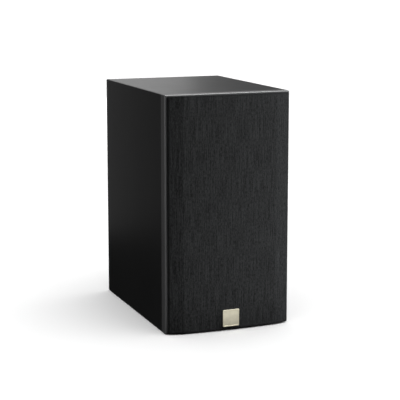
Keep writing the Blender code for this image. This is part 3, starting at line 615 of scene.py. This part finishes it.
def make_grille_cloth():
    """One sheet stretched over the frame's front and folded back round its four edges."""
    low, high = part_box("grille_cloth")
    back, _ = heights_of("grille_cloth")
    half_height, centre_z = (high.z - low.z) / 2 / MM, (high.z + low.z) / 2
    corner, rows = 2.4, 72
    section = grille_section()
    side = section[-1].x
    bm = bmesh.new()
    uv_layer = bm.loops.layers.uv.new("metres_along_cloth")
    grid, across = [], 0.0
    for index, point in enumerate(section):
        if index:
            across += (point - section[index - 1]).length * MM
        past = max(0.0, abs(point.x) - (side - corner))
        reach = half_height - corner + math.sqrt(max(0.0, corner**2 - past**2))
        column = grille_column(point.y, back, reach, rows)
        up, line = 0.0, []
        for row, (z, height) in enumerate(column):
            if row:
                up += (column[row] - column[row - 1]).length * MM
            vert = bm.verts.new((point.x * MM, BAFFLE_Y - height * MM, centre_z + z * MM))
            line.append((vert, (across, up)))
        grid.append(line)
    for left, right in zip(grid, grid[1:]):
        for row in range(len(left) - 1):
            corners = (left[row], right[row], right[row + 1], left[row + 1])
            face = bm.faces.new([vert for vert, _ in corners])
            for loop, (vert, uv) in zip(face.loops, corners):
                loop[uv_layer].uv = uv
    mesh = to_mesh("grille_cloth_sheet", bm, 60)
    cloth = piece(mesh.name, mesh, Matrix.Identity(4), GRILLE, "grille_cloth", ["grille_cloth"])
    thickness = cloth.modifiers.new("cloth_thickness", "SOLIDIFY")
    thickness.thickness, thickness.offset = 0.4 * MM, -1


def make_badge():
    """A plain satin plate with a raised rim, standing on the cloth."""
    low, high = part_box("badge")
    side, thick = (high.x - low.x) / MM, (high.y - low.y) / MM
    at = on_plane("badge", high.y)
    bevel, rim, dish = 0.22, 2.3, 0.35
    levels = [
        (2 * bevel, 0.9, 0), (0, 1.0, bevel), (0, 1.0, thick - bevel), (bevel, 0.95, thick - 0.06),
        (2 * bevel, 0.9, thick), (rim - 0.3, 0.7, thick), (rim, 0.6, thick - 0.08),
        (rim + 0.25, 0.5, thick - dish + 0.05), (rim + 0.6, 0.4, thick - dish),
    ]
    mesh = loft_mesh("badge_plate", box_loops(side, side, levels), 25)
    piece("badge_plate", mesh, place_at(at, FORWARD), GRILLE, "satin_champagne", ["badge"])


# ---- drivers ----
def turned_piece(name, corners, at, facing, body, slot, node, steps=96, curve=4, shape=None):
    """A piece in a CAD node's place, turned from the (radius, height, corner) points of its outline."""
    mesh = lathe_mesh(name, rounded(corners, curve), steps, shape=shape)
    piece(name, mesh, place_at(at, facing), body, slot, [node])


def thick_line(line, thickness):
    """A closed outline round a line of (radius, height), its back a thickness below."""
    return [(x, y, 0) for x, y in line] + [(x, y - thickness, 0) for x, y in reversed(line)]


def sector_of(ring, name, angle, half_angle):
    """A mesh of the part of a ring within half_angle of an angle, closed and shaded as in the ring."""
    normals = [vert.normal.copy() for vert in ring.vertices]
    bm = bmesh.new()
    bm.from_mesh(ring)
    source = bm.verts.layers.int.new("source")
    for vert in bm.verts:
        vert[source] = vert.index
    outside = []
    for face in bm.faces:
        centre = face.calc_center_median()
        away = (math.atan2(centre.y, centre.x) - angle + math.pi) % TURN - math.pi
        if abs(away) > half_angle:
            outside.append(face)
    bmesh.ops.delete(bm, geom=outside, context="FACES")
    bmesh.ops.holes_fill(bm, edges=[edge for edge in bm.edges if edge.is_boundary])
    for edge in bm.edges:
        if len(edge.link_faces) == 2 and any(len(face.verts) > 4 for face in edge.link_faces):
            edge.smooth = False
    kept = [normals[vert[source]] for vert in bm.verts]
    bm.verts.layers.int.remove(source)
    mesh = bpy.data.meshes.new(name)
    bm.to_mesh(mesh)
    bm.free()
    shading = []
    for polygon in mesh.polygons:
        # Only the two faces that close the cuts have more than four corners.
        cut_face = len(polygon.vertices) > 4
        for vertex in polygon.vertices:
            shading.append(polygon.normal.copy() if cut_face else kept[vertex])
    return mesh, shading


def ring_sectors(name, line, thickness, at, slot, node, sectors=12, steps=8):
    """A flexing ring, cut into sectors, each closed and shaded as in the whole ring."""
    place = place_at(at, FORWARD)
    turn = place.to_3x3()
    profile = [(x, y) for x, y, _ in thick_line(line, thickness)]
    ring = lathe_mesh(name, profile, sectors * steps, sharp_degrees=50)
    for sector in range(sectors):
        angle = TURN * (sector + 0.5) / sectors
        mesh, shading = sector_of(ring, f"{name}_{sector + 1}", angle, math.pi / sectors)
        mesh.transform(place)
        mesh.normals_split_custom_set([turn @ normal for normal in shading])
        mesh.materials.append(FINISHES[slot])
        obj = add_object(mesh.name, mesh)
        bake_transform(obj)
        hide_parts(node)


def screw_mesh(name, radius, rise, length, shank):
    """A pan-head screw with a cross recess, its seat at height 0."""
    head = [(0, rise, 0), (radius * 0.55, rise * 0.97, 0), (radius * 0.86, rise * 0.72, 0),
            (radius, rise * 0.3, 0.2), (radius, 0, 0.1), (shank, 0, 0), (shank, -length + shank, 0),
            (0, -length, 0)]
    mesh = lathe_mesh(name, rounded(head, 3, closed=False), 40, closed=False)
    mouth = plus_sign(radius * 1.04, radius * 0.26)
    foot = [(x * 0.6, y * 0.6) for x, y in mouth]
    return carve(mesh, loft_mesh("cross_recess", [(foot, rise * 0.45), (mouth, rise + 0.5)]))


def make_screws(prefix, facing, radius, rise, shank):
    """A screw in place of each CAD screw, each driven home at its own angle."""
    shared = None
    for number in SCREWS:
        node = f"{prefix}_{number}"
        low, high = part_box(node)
        length = (high.y - low.y) / MM - rise
        top = low.y if facing is FORWARD else high.y
        seat = top + rise * MM * (1 if facing is FORWARD else -1)
        shared = shared or screw_mesh(f"{prefix}_mesh", radius, rise, length, shank)
        driven = Matrix.Rotation(math.radians(17 + 41 * number), 4, "Z")
        place = place_at(on_plane(node, seat), facing) @ driven
        piece(f"{prefix}_{number}_head", shared, place, CABINET, "black_steel", [node])


def cone_line():
    """The cone's front face from its neck to its flat rim; a power over 1 gives it a slight flare."""
    neck, rim_start, rim_end, rim_height = 13.6, 43.0, 46.0, -1.0
    depth, flare, steps = 22.0, 1.18, 20
    line = []
    for step in range(steps + 1):
        share = step / steps
        line.append((neck + (rim_start - neck) * share, rim_height - depth * (1 - share) ** flare))
    line.append((rim_end, rim_height))
    return line


def roll_line(inner, foot_in, foot_out, outer, base, rise, steps):
    """A flat land, a half roll from foot_in to foot_out, and another flat land."""
    line = [(inner, base)]
    middle_radius, half_width = (foot_in + foot_out) / 2, (foot_out - foot_in) / 2
    for step in range(steps + 1):
        angle = math.pi * step / steps
        line.append((middle_radius - half_width * math.cos(angle), base + rise * math.sin(angle)))
    line.append((outer, base))
    return line


def dome_mesh(name, face, thickness, base):
    """A thin shell under a line of (radius, height) from top to rim, its underside flat at a base."""
    under = [(x, max(base, y - thickness)) for x, y in reversed(face)]
    return lathe_mesh(name, face + under, closed=False, sharp_degrees=50)


def make_cone():
    ring = [(58.4, -0.4, 0.2), (58.4, 0.5, 0.6), (60.2, 1.2, 0.8), (67.6, 1.2, 0.5), (68.6, 0.5, 0.5),
            (68.6, -0.4, 0.2)]
    turned_piece("woofer_ring", ring, WOOFER_AT, FORWARD, CABINET, "black_plastic",
                 "woofer_trim_ring", 128)
    turned_piece("woofer_cone_skin", thick_line(cone_line(), 0.7), WOOFER_AT, FORWARD, WOOFER,
                 "cone_paper", "woofer_cone", 128, 1)


def make_dust_cap():
    """A shallow parabola of thin rubber over the cone's neck."""
    back, front = heights_of("woofer_dust_cap")
    radius, skin, steps = 17.5, 0.6, 12
    cap = []
    for step in range(steps + 1):
        share = step / steps
        cap.append((radius * share, back + skin + (front - back - skin) * (1 - share**2)))
    mesh = dome_mesh("woofer_dust_cap_skin", cap, skin, back)
    piece(mesh.name, mesh, place_at(WOOFER_AT, FORWARD), WOOFER, "black_rubber", ["woofer_dust_cap"])


def make_surround():
    """The rubber half roll round the cone."""
    back, front = heights_of("woofer_surround")
    sheet = 0.6
    roll = roll_line(43.6, 46.6, 55.4, 58.0, back + sheet, front - back - sheet, 16)
    ring_sectors("surround_sector", roll, sheet, WOOFER_AT, "black_rubber",
                 "woofer_surround", 24, 4)


def make_spider():
    """The corrugated centring ring behind the cone."""
    back, front = heights_of("woofer_spider")
    sheet = 0.5
    base = (back + front) / 2 + sheet / 2
    inner, outer, rim, waves, swing, steps = 13.6, 33.0, 36.8, 5, 0.85, 50
    line = []
    for step in range(steps + 1):
        share = step / steps
        line.append((inner + (outer - inner) * share, base + swing * math.sin(TURN * waves * share)))
    line.append((rim, base))
    ring_sectors("spider_sector", line, sheet, WOOFER_AT, "spider_cloth",
                 "woofer_spider")


def make_tweeter_plate():
    """A moulded plate that opens round the dome in a shallow flare."""
    plate = [(17.0, -3.4, 0.2), (17.0, -2.5, 0.6), (22.0, -2.3, 4.0), (34.0, 0.8, 6.0),
             (45.3, 0.8, 0.5), (46.0, 0.2, 0.4), (46.0, -3.4, 0.3)]
    turned_piece("tweeter_plate", plate, TWEETER_AT, FORWARD, CABINET, "black_plastic",
                 "tweeter_faceplate", 128)


def make_dome():
    """A cap of a sphere in coated cloth, and the small half roll that it hangs on."""
    back, front = heights_of("tweeter_dome")
    radius, rise, skin, steps = 13.0, front - back, 0.3, 16
    sphere = (radius**2 + rise**2) / (2 * rise)
    dome = []
    for step in range(steps):
        reach = radius * step / steps
        dome.append((reach, front - sphere + math.sqrt(sphere**2 - reach**2)))
    dome.append((radius, back + skin))
    mesh = dome_mesh("tweeter_dome_skin", dome, skin, back)
    piece(mesh.name, mesh, place_at(TWEETER_AT, FORWARD), TWEETER, "dome_silk", ["tweeter_dome"])
    back, front = heights_of("tweeter_suspension")
    roll = roll_line(13.05, 13.5, 16.2, 16.7, back + skin, front - back - skin, 8)
    ring_sectors("suspension_sector", roll, skin, TWEETER_AT, "dome_silk",
                 "tweeter_suspension")


def plain_ring(node, inner, outer, at, body, slot, chamfer=0.5):
    """A machined or pressed ring that fills its CAD node's length, with chamfered edges."""
    back, front = heights_of(node)
    corners = [(inner, back, chamfer), (inner, front, chamfer), (outer, front, chamfer),
               (outer, back, chamfer)]
    turned_piece(f"{node}_ring", corners, at, FORWARD, body, slot, node, 96, 2)


def yoke(node, plate, pole, vent, thick, at):
    """A back plate and pole in one, with a vent through it."""
    back, front = heights_of(node)
    corners = [(plate, back, 1.0), (plate, back + thick, 0.6), (pole, back + thick, 0.4),
               (pole, front, 0.6), (vent, front, 0.6 if vent else 0), (vent, back, 0.8 if vent else 0)]
    turned_piece(f"{node}_turned", corners, at, FORWARD, CABINET, "steel", node, 96, 2)


def coil(node, inner, outer, at, body, wire=0.3):
    """A layer of wire: its outside shows every turn."""
    start, end = heights_of(node)
    turns = round((end - start) / (2 * wire))
    step, dip = (end - start) / turns, 0.35
    line = [(inner, start)]
    for turn in range(turns):
        for share, depth in ((0.1, dip), (0.5, 0.0), (0.9, dip)):
            line.append((outer - depth * step, start + step * (turn + share)))
    line.append((inner, end))
    mesh = lathe_mesh(f"{node}_winding", line, 72, sharp_degrees=60)
    piece(f"{node}_winding", mesh, place_at(at, FORWARD), body, "copper_wire", [node])


def make_motors():
    """Each driver's magnet between two steel parts, and the coil that stands in their gap."""
    plain_ring("woofer_top_plate", 14.8, 38.0, WOOFER_AT, CABINET, "steel")
    plain_ring("woofer_magnet", 21.0, 42.0, WOOFER_AT, CABINET, "ferrite", 0.9)
    yoke("woofer_yoke", 38.0, 12.0, 4.0, 5.0, WOOFER_AT)
    plain_ring("woofer_coil_former", 12.5, 13.0, WOOFER_AT, WOOFER, "former_paper", 0.05)
    coil("woofer_voice_coil", 13.3, 14.2, WOOFER_AT, WOOFER)
    plain_ring("tweeter_top_plate", 13.7, 31.0, TWEETER_AT, CABINET, "steel")
    plain_ring("tweeter_magnet", 17.0, 35.0, TWEETER_AT, CABINET, "ferrite", 0.8)
    yoke("tweeter_yoke", 31.0, 11.8, 0.0, 4.0, TWEETER_AT)
    coil("tweeter_voice_coil", 12.4, 13.0, TWEETER_AT, TWEETER, 0.12)


# ---- back ----
def make_port():
    """The reflex port: a flared tube with a flange outside."""
    end, lip = heights_behind("port_tube")
    bore, wall, flange = 20.0, 2.2, 34.0
    corners = [
        (bore, end + 8, 6), (bore, lip - 13, 8), (28.0, lip, 7), (flange, lip, 1.2), (flange, 0.3, 0.3),
        (bore + wall + 6, 0.3, 0.5), (bore + wall + 0.2, -9.5, 5), (bore + wall, end + 8, 6),
        (bore + wall + 4, end + 0.5, 0.8), (bore + 4, end, 0.8),
    ]
    turned_piece("port_tube_flared", corners, PORT_AT, BACKWARD, CABINET, "black_plastic", "port_tube",
                 128, 8)


def cup_loops():
    """The terminal cup's outlines: up its outside, over the flange and down into the tray."""
    low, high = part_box("terminal_cup")
    width, height = (high.x - low.x) / MM, (high.z - low.z) / MM
    bottom, lip = heights_behind("terminal_cup")
    tray_width, tray_height, wall = 82.0, 48.0, 2.0
    outside = [(2, 5, bottom), (0, 6, bottom + 1), (0, 6, 0.3)]
    flange = [(0.6, 9, 0.3), (0, 9, 0.9), (0, 9, lip - 0.9), (0.8, 8.8, lip - 0.2), (2.2, 8.2, lip)]
    inside = [(-2.4, 6.5, lip), (-0.8, 6, lip - 0.7), (0, 5.6, lip - 2.4), (0.6, 5, CUP_FLOOR + 1.6),
              (2.4, 4, CUP_FLOOR + 0.15), (5, 3, CUP_FLOOR)]
    return (box_loops(tray_width, tray_height, outside) + box_loops(width, height, flange)
            + box_loops(tray_width - 2 * wall, tray_height - 2 * wall, inside))


def make_terminal_cup():
    """A moulded tray let into the back, with a flange, and a plus and a minus beside the posts."""
    _, lip = heights_behind("terminal_cup")
    sink_radius, sink_floor = 2.9, lip - 1.6
    sink = [(0, sink_floor), (sink_radius, sink_floor), (sink_radius, lip + 1), (0, lip + 1)]
    tool = lathe_mesh("counterbore", sink, 32, closed=False)
    spots = [middle(f"cup_screw_{number}") - TERMINALS_AT for number in SCREWS]
    counterbores = bpy.data.meshes.new("counterbores")
    join_meshes(counterbores, *[(tool, Matrix.Translation((-spot.x, spot.z, 0))) for spot in spots])
    mesh = carve(loft_mesh("terminal_cup_moulding", cup_loops(), 40), counterbores)
    foot, face = CUP_FLOOR - 0.2, CUP_FLOOR + 0.9
    plus = plus_sign(6, 1.3)
    minus = [(3, -0.65), (3, 0.65), (-3, 0.65), (-3, -0.65)]
    across = middle("post_stud_red").x - TERMINALS_AT.x + 11.5 * MM
    for sign, side in ((plus, -across), (minus, across)):
        raised = loft_mesh("polarity_sign", [(sign, foot), (sign, face)])
        join_meshes(mesh, (raised, Matrix.Translation((side, 0, 0))))
    place = place_at(TERMINALS_AT, BACKWARD)
    piece("terminal_cup_moulding", mesh, place, CABINET, "black_plastic", ["terminal_cup"])


def threaded_stud(name):
    """A hollow threaded stud on a collar; the socket in its end takes a plug."""
    radius, depth, pitch, socket, collar = 2.5, 0.3, 0.8, 2.05, 5.5
    low, base, top = -29.7, -19.7, -1.2
    rows_per_turn = 6

    def thread(reach, height, angle):
        if reach != radius:
            return reach
        phase = (height / pitch - angle / TURN) % 1
        fade = min(1.0, max(0.0, (top - 0.5 - height) / 0.5))
        return radius - depth * (1 - fade * (1 - abs(2 * phase - 1)))

    profile = [(0, low), (1.4, low), (1.6, low + 0.4), (1.6, base - 0.3), (collar - 0.3, base),
               (collar, base + 0.3), (collar, base + 2.7), (collar - 0.3, base + 3.0)]
    start = base + 3.0
    rows = round((top - 0.3 - start) / pitch * rows_per_turn)
    profile += [(radius, start + (top - 0.3 - start) * row / rows) for row in range(rows + 1)]
    profile += [(radius - 0.25, top), (socket + 0.05, top), (socket, top - 0.4), (socket, top - 13.4),
                (0, top - 14)]
    return lathe_mesh(name, profile, 36, closed=False, shape=thread, sharp_degrees=45)


def knurled(flutes, depth, low, high):
    """A radius changed by round flutes, between two heights, on a cap's outer wall only."""
    outer_wall = 5.5

    def shape(reach, height, angle):
        if reach < outer_wall or not low < height < high:
            return reach
        return reach - depth * (0.5 - 0.5 * math.cos(flutes * angle))
    return shape


def make_posts():
    """Two binding posts, each a stud with a washer and a knurled cap on its thread."""
    washer = [(2.8, -16.4, 0.2), (2.8, -15.2, 0.2), (5.6, -15.2, 0.35), (5.6, -16.4, 0.35)]
    grip_rows = 8
    grip = [(6.5, -13.3 + 11.3 * row / grip_rows, 0) for row in range(grip_rows + 1)]
    cap = [(2.8, -14.9, 0.2), (5.3, -14.9, 0.3), (6.0, -14.4, 0.5), (6.2, -13.5, 0), *grip,
           (6.3, -1.7, 0), (6.0, -0.9, 0.4), (5.2, -0.4, 0.5), (3.3, -0.4, 0.3), (2.8, -0.9, 0.2)]
    for colour in ("red", "black"):
        stud = f"post_stud_{colour}"
        at = on_plane(stud, BACK_Y)
        mesh = threaded_stud(f"{stud}_threaded")
        piece(mesh.name, mesh, place_at(at, BACKWARD), CABINET, "gold_plate", [stud])
        turned_piece(f"post_washer_{colour}_turned", washer, at, BACKWARD, f"{colour}_post_washer",
                     "gold_plate", f"post_washer_{colour}", 64, 3)
        turned_piece(f"post_cap_{colour}_knurled", cap, at, BACKWARD, f"{colour}_post_cap",
                     f"{colour}_plastic", f"post_cap_{colour}", 144, 2, knurled(24, 0.55, -13.4, -1.9))


# ---- inside ----
def inductor(node, inner, outer):
    """An air-cored coil standing on the board: whole turns of thick wire, layer on layer."""
    low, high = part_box(node)
    length, wire, turn_dip, layer_dip = (high.y - low.y) / MM, 0.9, 0.22, 0.25
    turns, layers = round(length / wire), round((outer - inner) / wire)
    pitch, layer = length / turns, (outer - inner) / layers
    line = []
    for turn in range(turns):
        line += [(outer - turn_dip, pitch * (turn + 0.04)), (outer, pitch * (turn + 0.5)),
                 (outer - turn_dip, pitch * (turn + 0.96))]
    for number in range(layers):
        for share, dip in ((0.1, layer_dip), (0.5, 0), (0.9, layer_dip)):
            line.append((outer - layer * (number + share), length - dip))
    line += [(inner, length - 0.3), (inner, 0.3), (inner + 0.4, 0), (outer - 0.4, 0)]
    mesh = lathe_mesh(f"{node}_windings", line, 96, sharp_degrees=60)
    piece(mesh.name, mesh, place_at(on_plane(node, high.y), FORWARD), CABINET, "copper_wire", [node])


def wire_mesh(name, points, radius):
    """A round wire along points in millimetres, ends closed."""
    curve = bpy.data.curves.new(name, "CURVE")
    curve.dimensions, curve.bevel_depth, curve.bevel_resolution = "3D", radius * MM, 3
    curve.use_fill_caps = True
    spline = curve.splines.new("BEZIER")
    spline.bezier_points.add(len(points) - 1)
    for knot, point in zip(spline.bezier_points, points):
        knot.co = Vector(point) * MM
        knot.handle_left_type = knot.handle_right_type = "AUTO"
    spline.resolution_u = 10
    return take_mesh(add_object(name, curve), name)


def make_capacitor():
    """A sleeved film capacitor lying along X, with a lead bent into the board at each end."""
    low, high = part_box("tweeter_capacitor")
    length, radius = (high.x - low.x) / MM, (high.z - low.z) / 2 / MM
    at = middle("tweeter_capacitor")
    along = Matrix.Translation(at) @ Matrix.Rotation(math.pi / 2, 4, "Y")
    half = length / 2 - 1.6
    corners = [(0, -half), (radius * 0.5, -half), (radius * 0.86, -half + 0.4), (radius, -half + 1.4),
               (radius, half - 1.4), (radius * 0.86, half - 0.4), (radius * 0.5, half), (0, half)]
    mesh = lathe_mesh("tweeter_capacitor_sleeve", corners, 64, closed=False, sharp_degrees=50)
    piece(mesh.name, mesh, along, CABINET, "capacitor_film", ["tweeter_capacitor"])
    into_board = (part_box("crossover_board")[0].y - at.y) / MM + 0.8
    bend = half + 1.2
    for number, side in enumerate((-1, 1), 1):
        points = [(side * (half - 0.5), 0, 0), (side * (half + 1.0), 0, 0), (side * bend, 1.2, 0),
                  (side * bend, into_board, 0)]
        lead = wire_mesh(f"capacitor_lead_{number}", points, 0.4)
        piece(lead.name, lead, Matrix.Translation(at), CABINET, "steel")


def make_resistor():
    """A cement-filled ceramic trough."""
    low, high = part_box("tweeter_resistor")
    width, depth, height = (high - low) / MM
    outside = [(0.6, 0.6, 0), (0, 0.8, 0.4), (0, 0.8, depth - 0.5), (0.9, 0.6, depth)]
    filling = [(2.4, 0.6, depth - 0.02), (3.0, 0.5, depth - 0.5)]
    mesh = loft_mesh("tweeter_resistor_trough", box_loops(width, height, outside + filling), 25)
    place = place_at(on_plane("tweeter_resistor", high.y), FORWARD)
    piece(mesh.name, mesh, place, CABINET, "resistor_ceramic", ["tweeter_resistor"])


def make_wadding():
    """A loose mat in the CAD mat's space: remeshed, drawn in a little and ruffled into tufts."""
    obj = add_object("wadding_mat", nodes["damping_wadding"].data.copy())
    obj.data.materials.clear()
    remesh = obj.modifiers.new("even_mesh", "REMESH")
    remesh.mode, remesh.voxel_size = "VOXEL", 5 * MM
    mesh = take_mesh(obj, "wadding_mat")
    draw_in, tuft, tuft_size = 2.6 * MM, 2.2 * MM, 14 * MM
    ruffled = []
    for vert in mesh.vertices:
        ruffle = noise.fractal(vert.co / tuft_size, 1.0, 2.0, 3)
        ruffled.append(vert.co + vert.normal * (min(1.0, ruffle) * tuft - draw_in))
    for vert, place in zip(mesh.vertices, ruffled):
        vert.co = place
    for polygon in mesh.polygons:
        polygon.use_smooth = True
    mat = piece("wadding_mat", mesh, Matrix.Identity(4), CABINET, "wadding", ["damping_wadding"])
    mat.modifiers.new("soft_surface", "SUBSURF").levels = 1


def smooth_by_angle():
    """A modifier for CAD nodes: smooth shading, broken where faces meet at more than 30 degrees."""
    group = bpy.data.node_groups.new("smooth_by_angle", "GeometryNodeTree")
    group.interface.new_socket("Geometry", in_out="INPUT", socket_type="NodeSocketGeometry")
    group.interface.new_socket("Geometry", in_out="OUTPUT", socket_type="NodeSocketGeometry")
    add, link = group.nodes.new, group.links.new
    source, result = add("NodeGroupInput"), add("NodeGroupOutput")
    angle, below = add("GeometryNodeInputMeshEdgeAngle"), add("FunctionNodeCompare")
    faces, edges = add("GeometryNodeSetShadeSmooth"), add("GeometryNodeSetShadeSmooth")
    edges.domain = "EDGE"
    below.data_type, below.operation = "FLOAT", "LESS_THAN"
    below.inputs[1].default_value = math.radians(30)
    link(angle.outputs["Unsigned Angle"], below.inputs[0])
    link(source.outputs[0], faces.inputs["Geometry"])
    link(faces.outputs[0], edges.inputs["Geometry"])
    link(below.outputs[0], edges.inputs["Shade Smooth"])
    link(edges.outputs[0], result.inputs[0])
    return group


def dress_cad_nodes():
    """Gives every CAD node its finish, and smooth shading to those that still show."""
    smooth = smooth_by_angle()
    for node in nodes.values():
        for slot in node.material_slots:
            slot_name = slot.material.name.split(".")[0]
            if slot_name in FINISHES:
                slot.material = FINISHES[slot_name]
        if not node.hide_render:
            node.modifiers.new("shading", "NODES").node_group = smooth


# ---- stage ----
def make_stage():
    """A pale floor that reaches the horizon. It takes shadows, and adds no light of its own."""
    mesh = bpy.data.meshes.new("floor")
    half = 150.0
    corners = [(-half, -half, 0), (half, -half, 0), (half, half, 0), (-half, half, 0)]
    mesh.from_pydata(corners, [], [(0, 1, 2, 3)])
    floor = add_object("floor", mesh)
    floor.location.z = -0.2 * MM
    m = Finish("pale_floor", Roughness=0.9, Specular_IOR_Level=0.0)
    m.colour(m.mix(m.noise(400, 2), (0.96, 0.96, 0.96), (0.98, 0.98, 0.98)))
    mesh.materials.append(m.material)
    floor.visible_glossy = False
    floor.visible_diffuse = False
    floor.visible_shadow = False


def make_sky():
    """An even white studio to the camera; for light, bright overhead and dim at the horizon."""
    world = bpy.data.worlds.new("studio")
    bpy.context.scene.world = world
    world.use_nodes = True
    g = Graph(world.node_tree)
    g.tree.nodes.clear()
    direction = g.node("TexCoord").outputs["Generated"]
    upward = g.node("SeparateXYZ", {0: direction}).outputs["Z"]
    overhead = g.levels(upward, 0.02, 2.45, 0.2, 1.0, interpolation_type="SMOOTHSTEP")
    front_right = {0: direction, 1: (0.75, -0.65, 0)}
    towards = g.node("VectorMath", front_right, operation="DOT_PRODUCT").outputs["Value"]
    strength = g.math("MULTIPLY", overhead, g.levels(towards, 0.35, 1.65, -1, 1))
    light = g.node("Background", {"Strength": strength}).outputs[0]
    seen = g.node("Background", {"Color": (1, 1, 1)}).outputs[0]
    camera_ray = g.node("LightPath").outputs["Is Camera Ray"]
    shown = g.node("MixShader", {0: camera_ray, 1: light, 2: seen}).outputs[0]
    g.node("OutputWorld", {0: shown})


def softbox(name, at, target, size, power, spares=()):
    """A soft rectangular light, of a size in metres and a power in watts, kept off what it spares."""
    data = bpy.data.lights.new(name, "AREA")
    data.shape, data.size, data.size_y = "RECTANGLE", *size
    data.energy = power
    light = add_object(name, data)
    light.location = at
    light.rotation_euler = (Vector(target) - Vector(at)).to_track_quat("-Z", "Y").to_euler()
    light.visible_camera = False
    if spares:
        flags = bpy.data.collections.new(f"{name}_flags")
        light.light_linking.receiver_collection = flags
        for spared in spares:
            flags.objects.link(bpy.data.objects[spared])
        for flag in flags.collection_objects:
            flag.light_linking.link_state = "EXCLUDE"


def make_camera():
    """Stands 1.6 m away, 21 degrees to the left of the grille's front, and looks 9 degrees down.

    A little downward shift keeps the cabinet's uprights as parallel as a product picture has them.
    """
    data = bpy.data.cameras.new("camera")
    camera = add_object("camera", data)
    data.lens, data.sensor_width, data.shift_y = 112.75, 36.0, -0.08
    camera.location = (-0.5787, -1.4942, 0.4403)
    yaw, pitch = math.radians(21.4), math.radians(9.09)
    camera.rotation_euler = (math.pi / 2 - pitch, 0, -yaw)
    bpy.context.scene.camera = camera


make_camera()
make_grille_cloth()
make_badge()
make_cone()
make_dust_cap()
make_surround()
make_screws("woofer_screw", FORWARD, 3.4, 2.0, 1.7)
make_spider()
make_tweeter_plate()
make_dome()
make_screws("tweeter_screw", FORWARD, 2.9, 1.7, 1.5)
make_motors()
make_port()
make_terminal_cup()
make_screws("cup_screw", BACKWARD, 2.6, 1.5, 1.2)
make_posts()
inductor("woofer_inductor", 8.0, 17.0)
inductor("tweeter_inductor", 5.0, 11.0)
make_capacitor()
make_resistor()
make_wadding()
dress_cad_nodes()

make_stage()
make_sky()
# The backdrop shows in the top panel's gloss, and the edge card along the left side's rear edge.
softbox("backdrop", (0.5, 2.6, 0.65), (0.5, 0, 0.65), (0.99, 2.1), 5.9)
softbox("edge_card", (-0.16, 0.5, 0.24), (-0.08, 0, 0.2), (0.14, 0.5), 0.045)
# This card lies on the floor behind and lights the back.
softbox("rear_card", (0.55, 0.8, 0.002), (0.55, 0.8, 1), (1.2, 1.1), 5)
# The key lights the front from the right. A card on the floor lifts the cloth and the badge, one at
# the left lifts the front board's edge, and the overhead strip lights the top's front edge.
softbox("key", (2.4, -0.62, 1.2), (0, 0, 0.15), (1.2, 1.4), 84, spares=["floor"])
softbox("front_card", (0.35, -0.62, 0.002), (0.35, -0.62, 1), (0.9, 0.9), 3.5)
softbox("left_card", (-1.25, -0.12, 0.15), (0, -0.1, 0.15), (0.5, 0.5), 5.5,
        spares=["grille_cloth_sheet", "floor"])
softbox("overhead_strip", (0.5, -0.33, 1.55), (0, -0.1, 0.29), (0.5, 0.5), 13, spares=["floor"])
bpy.context.scene.view_settings.view_transform = "Standard"
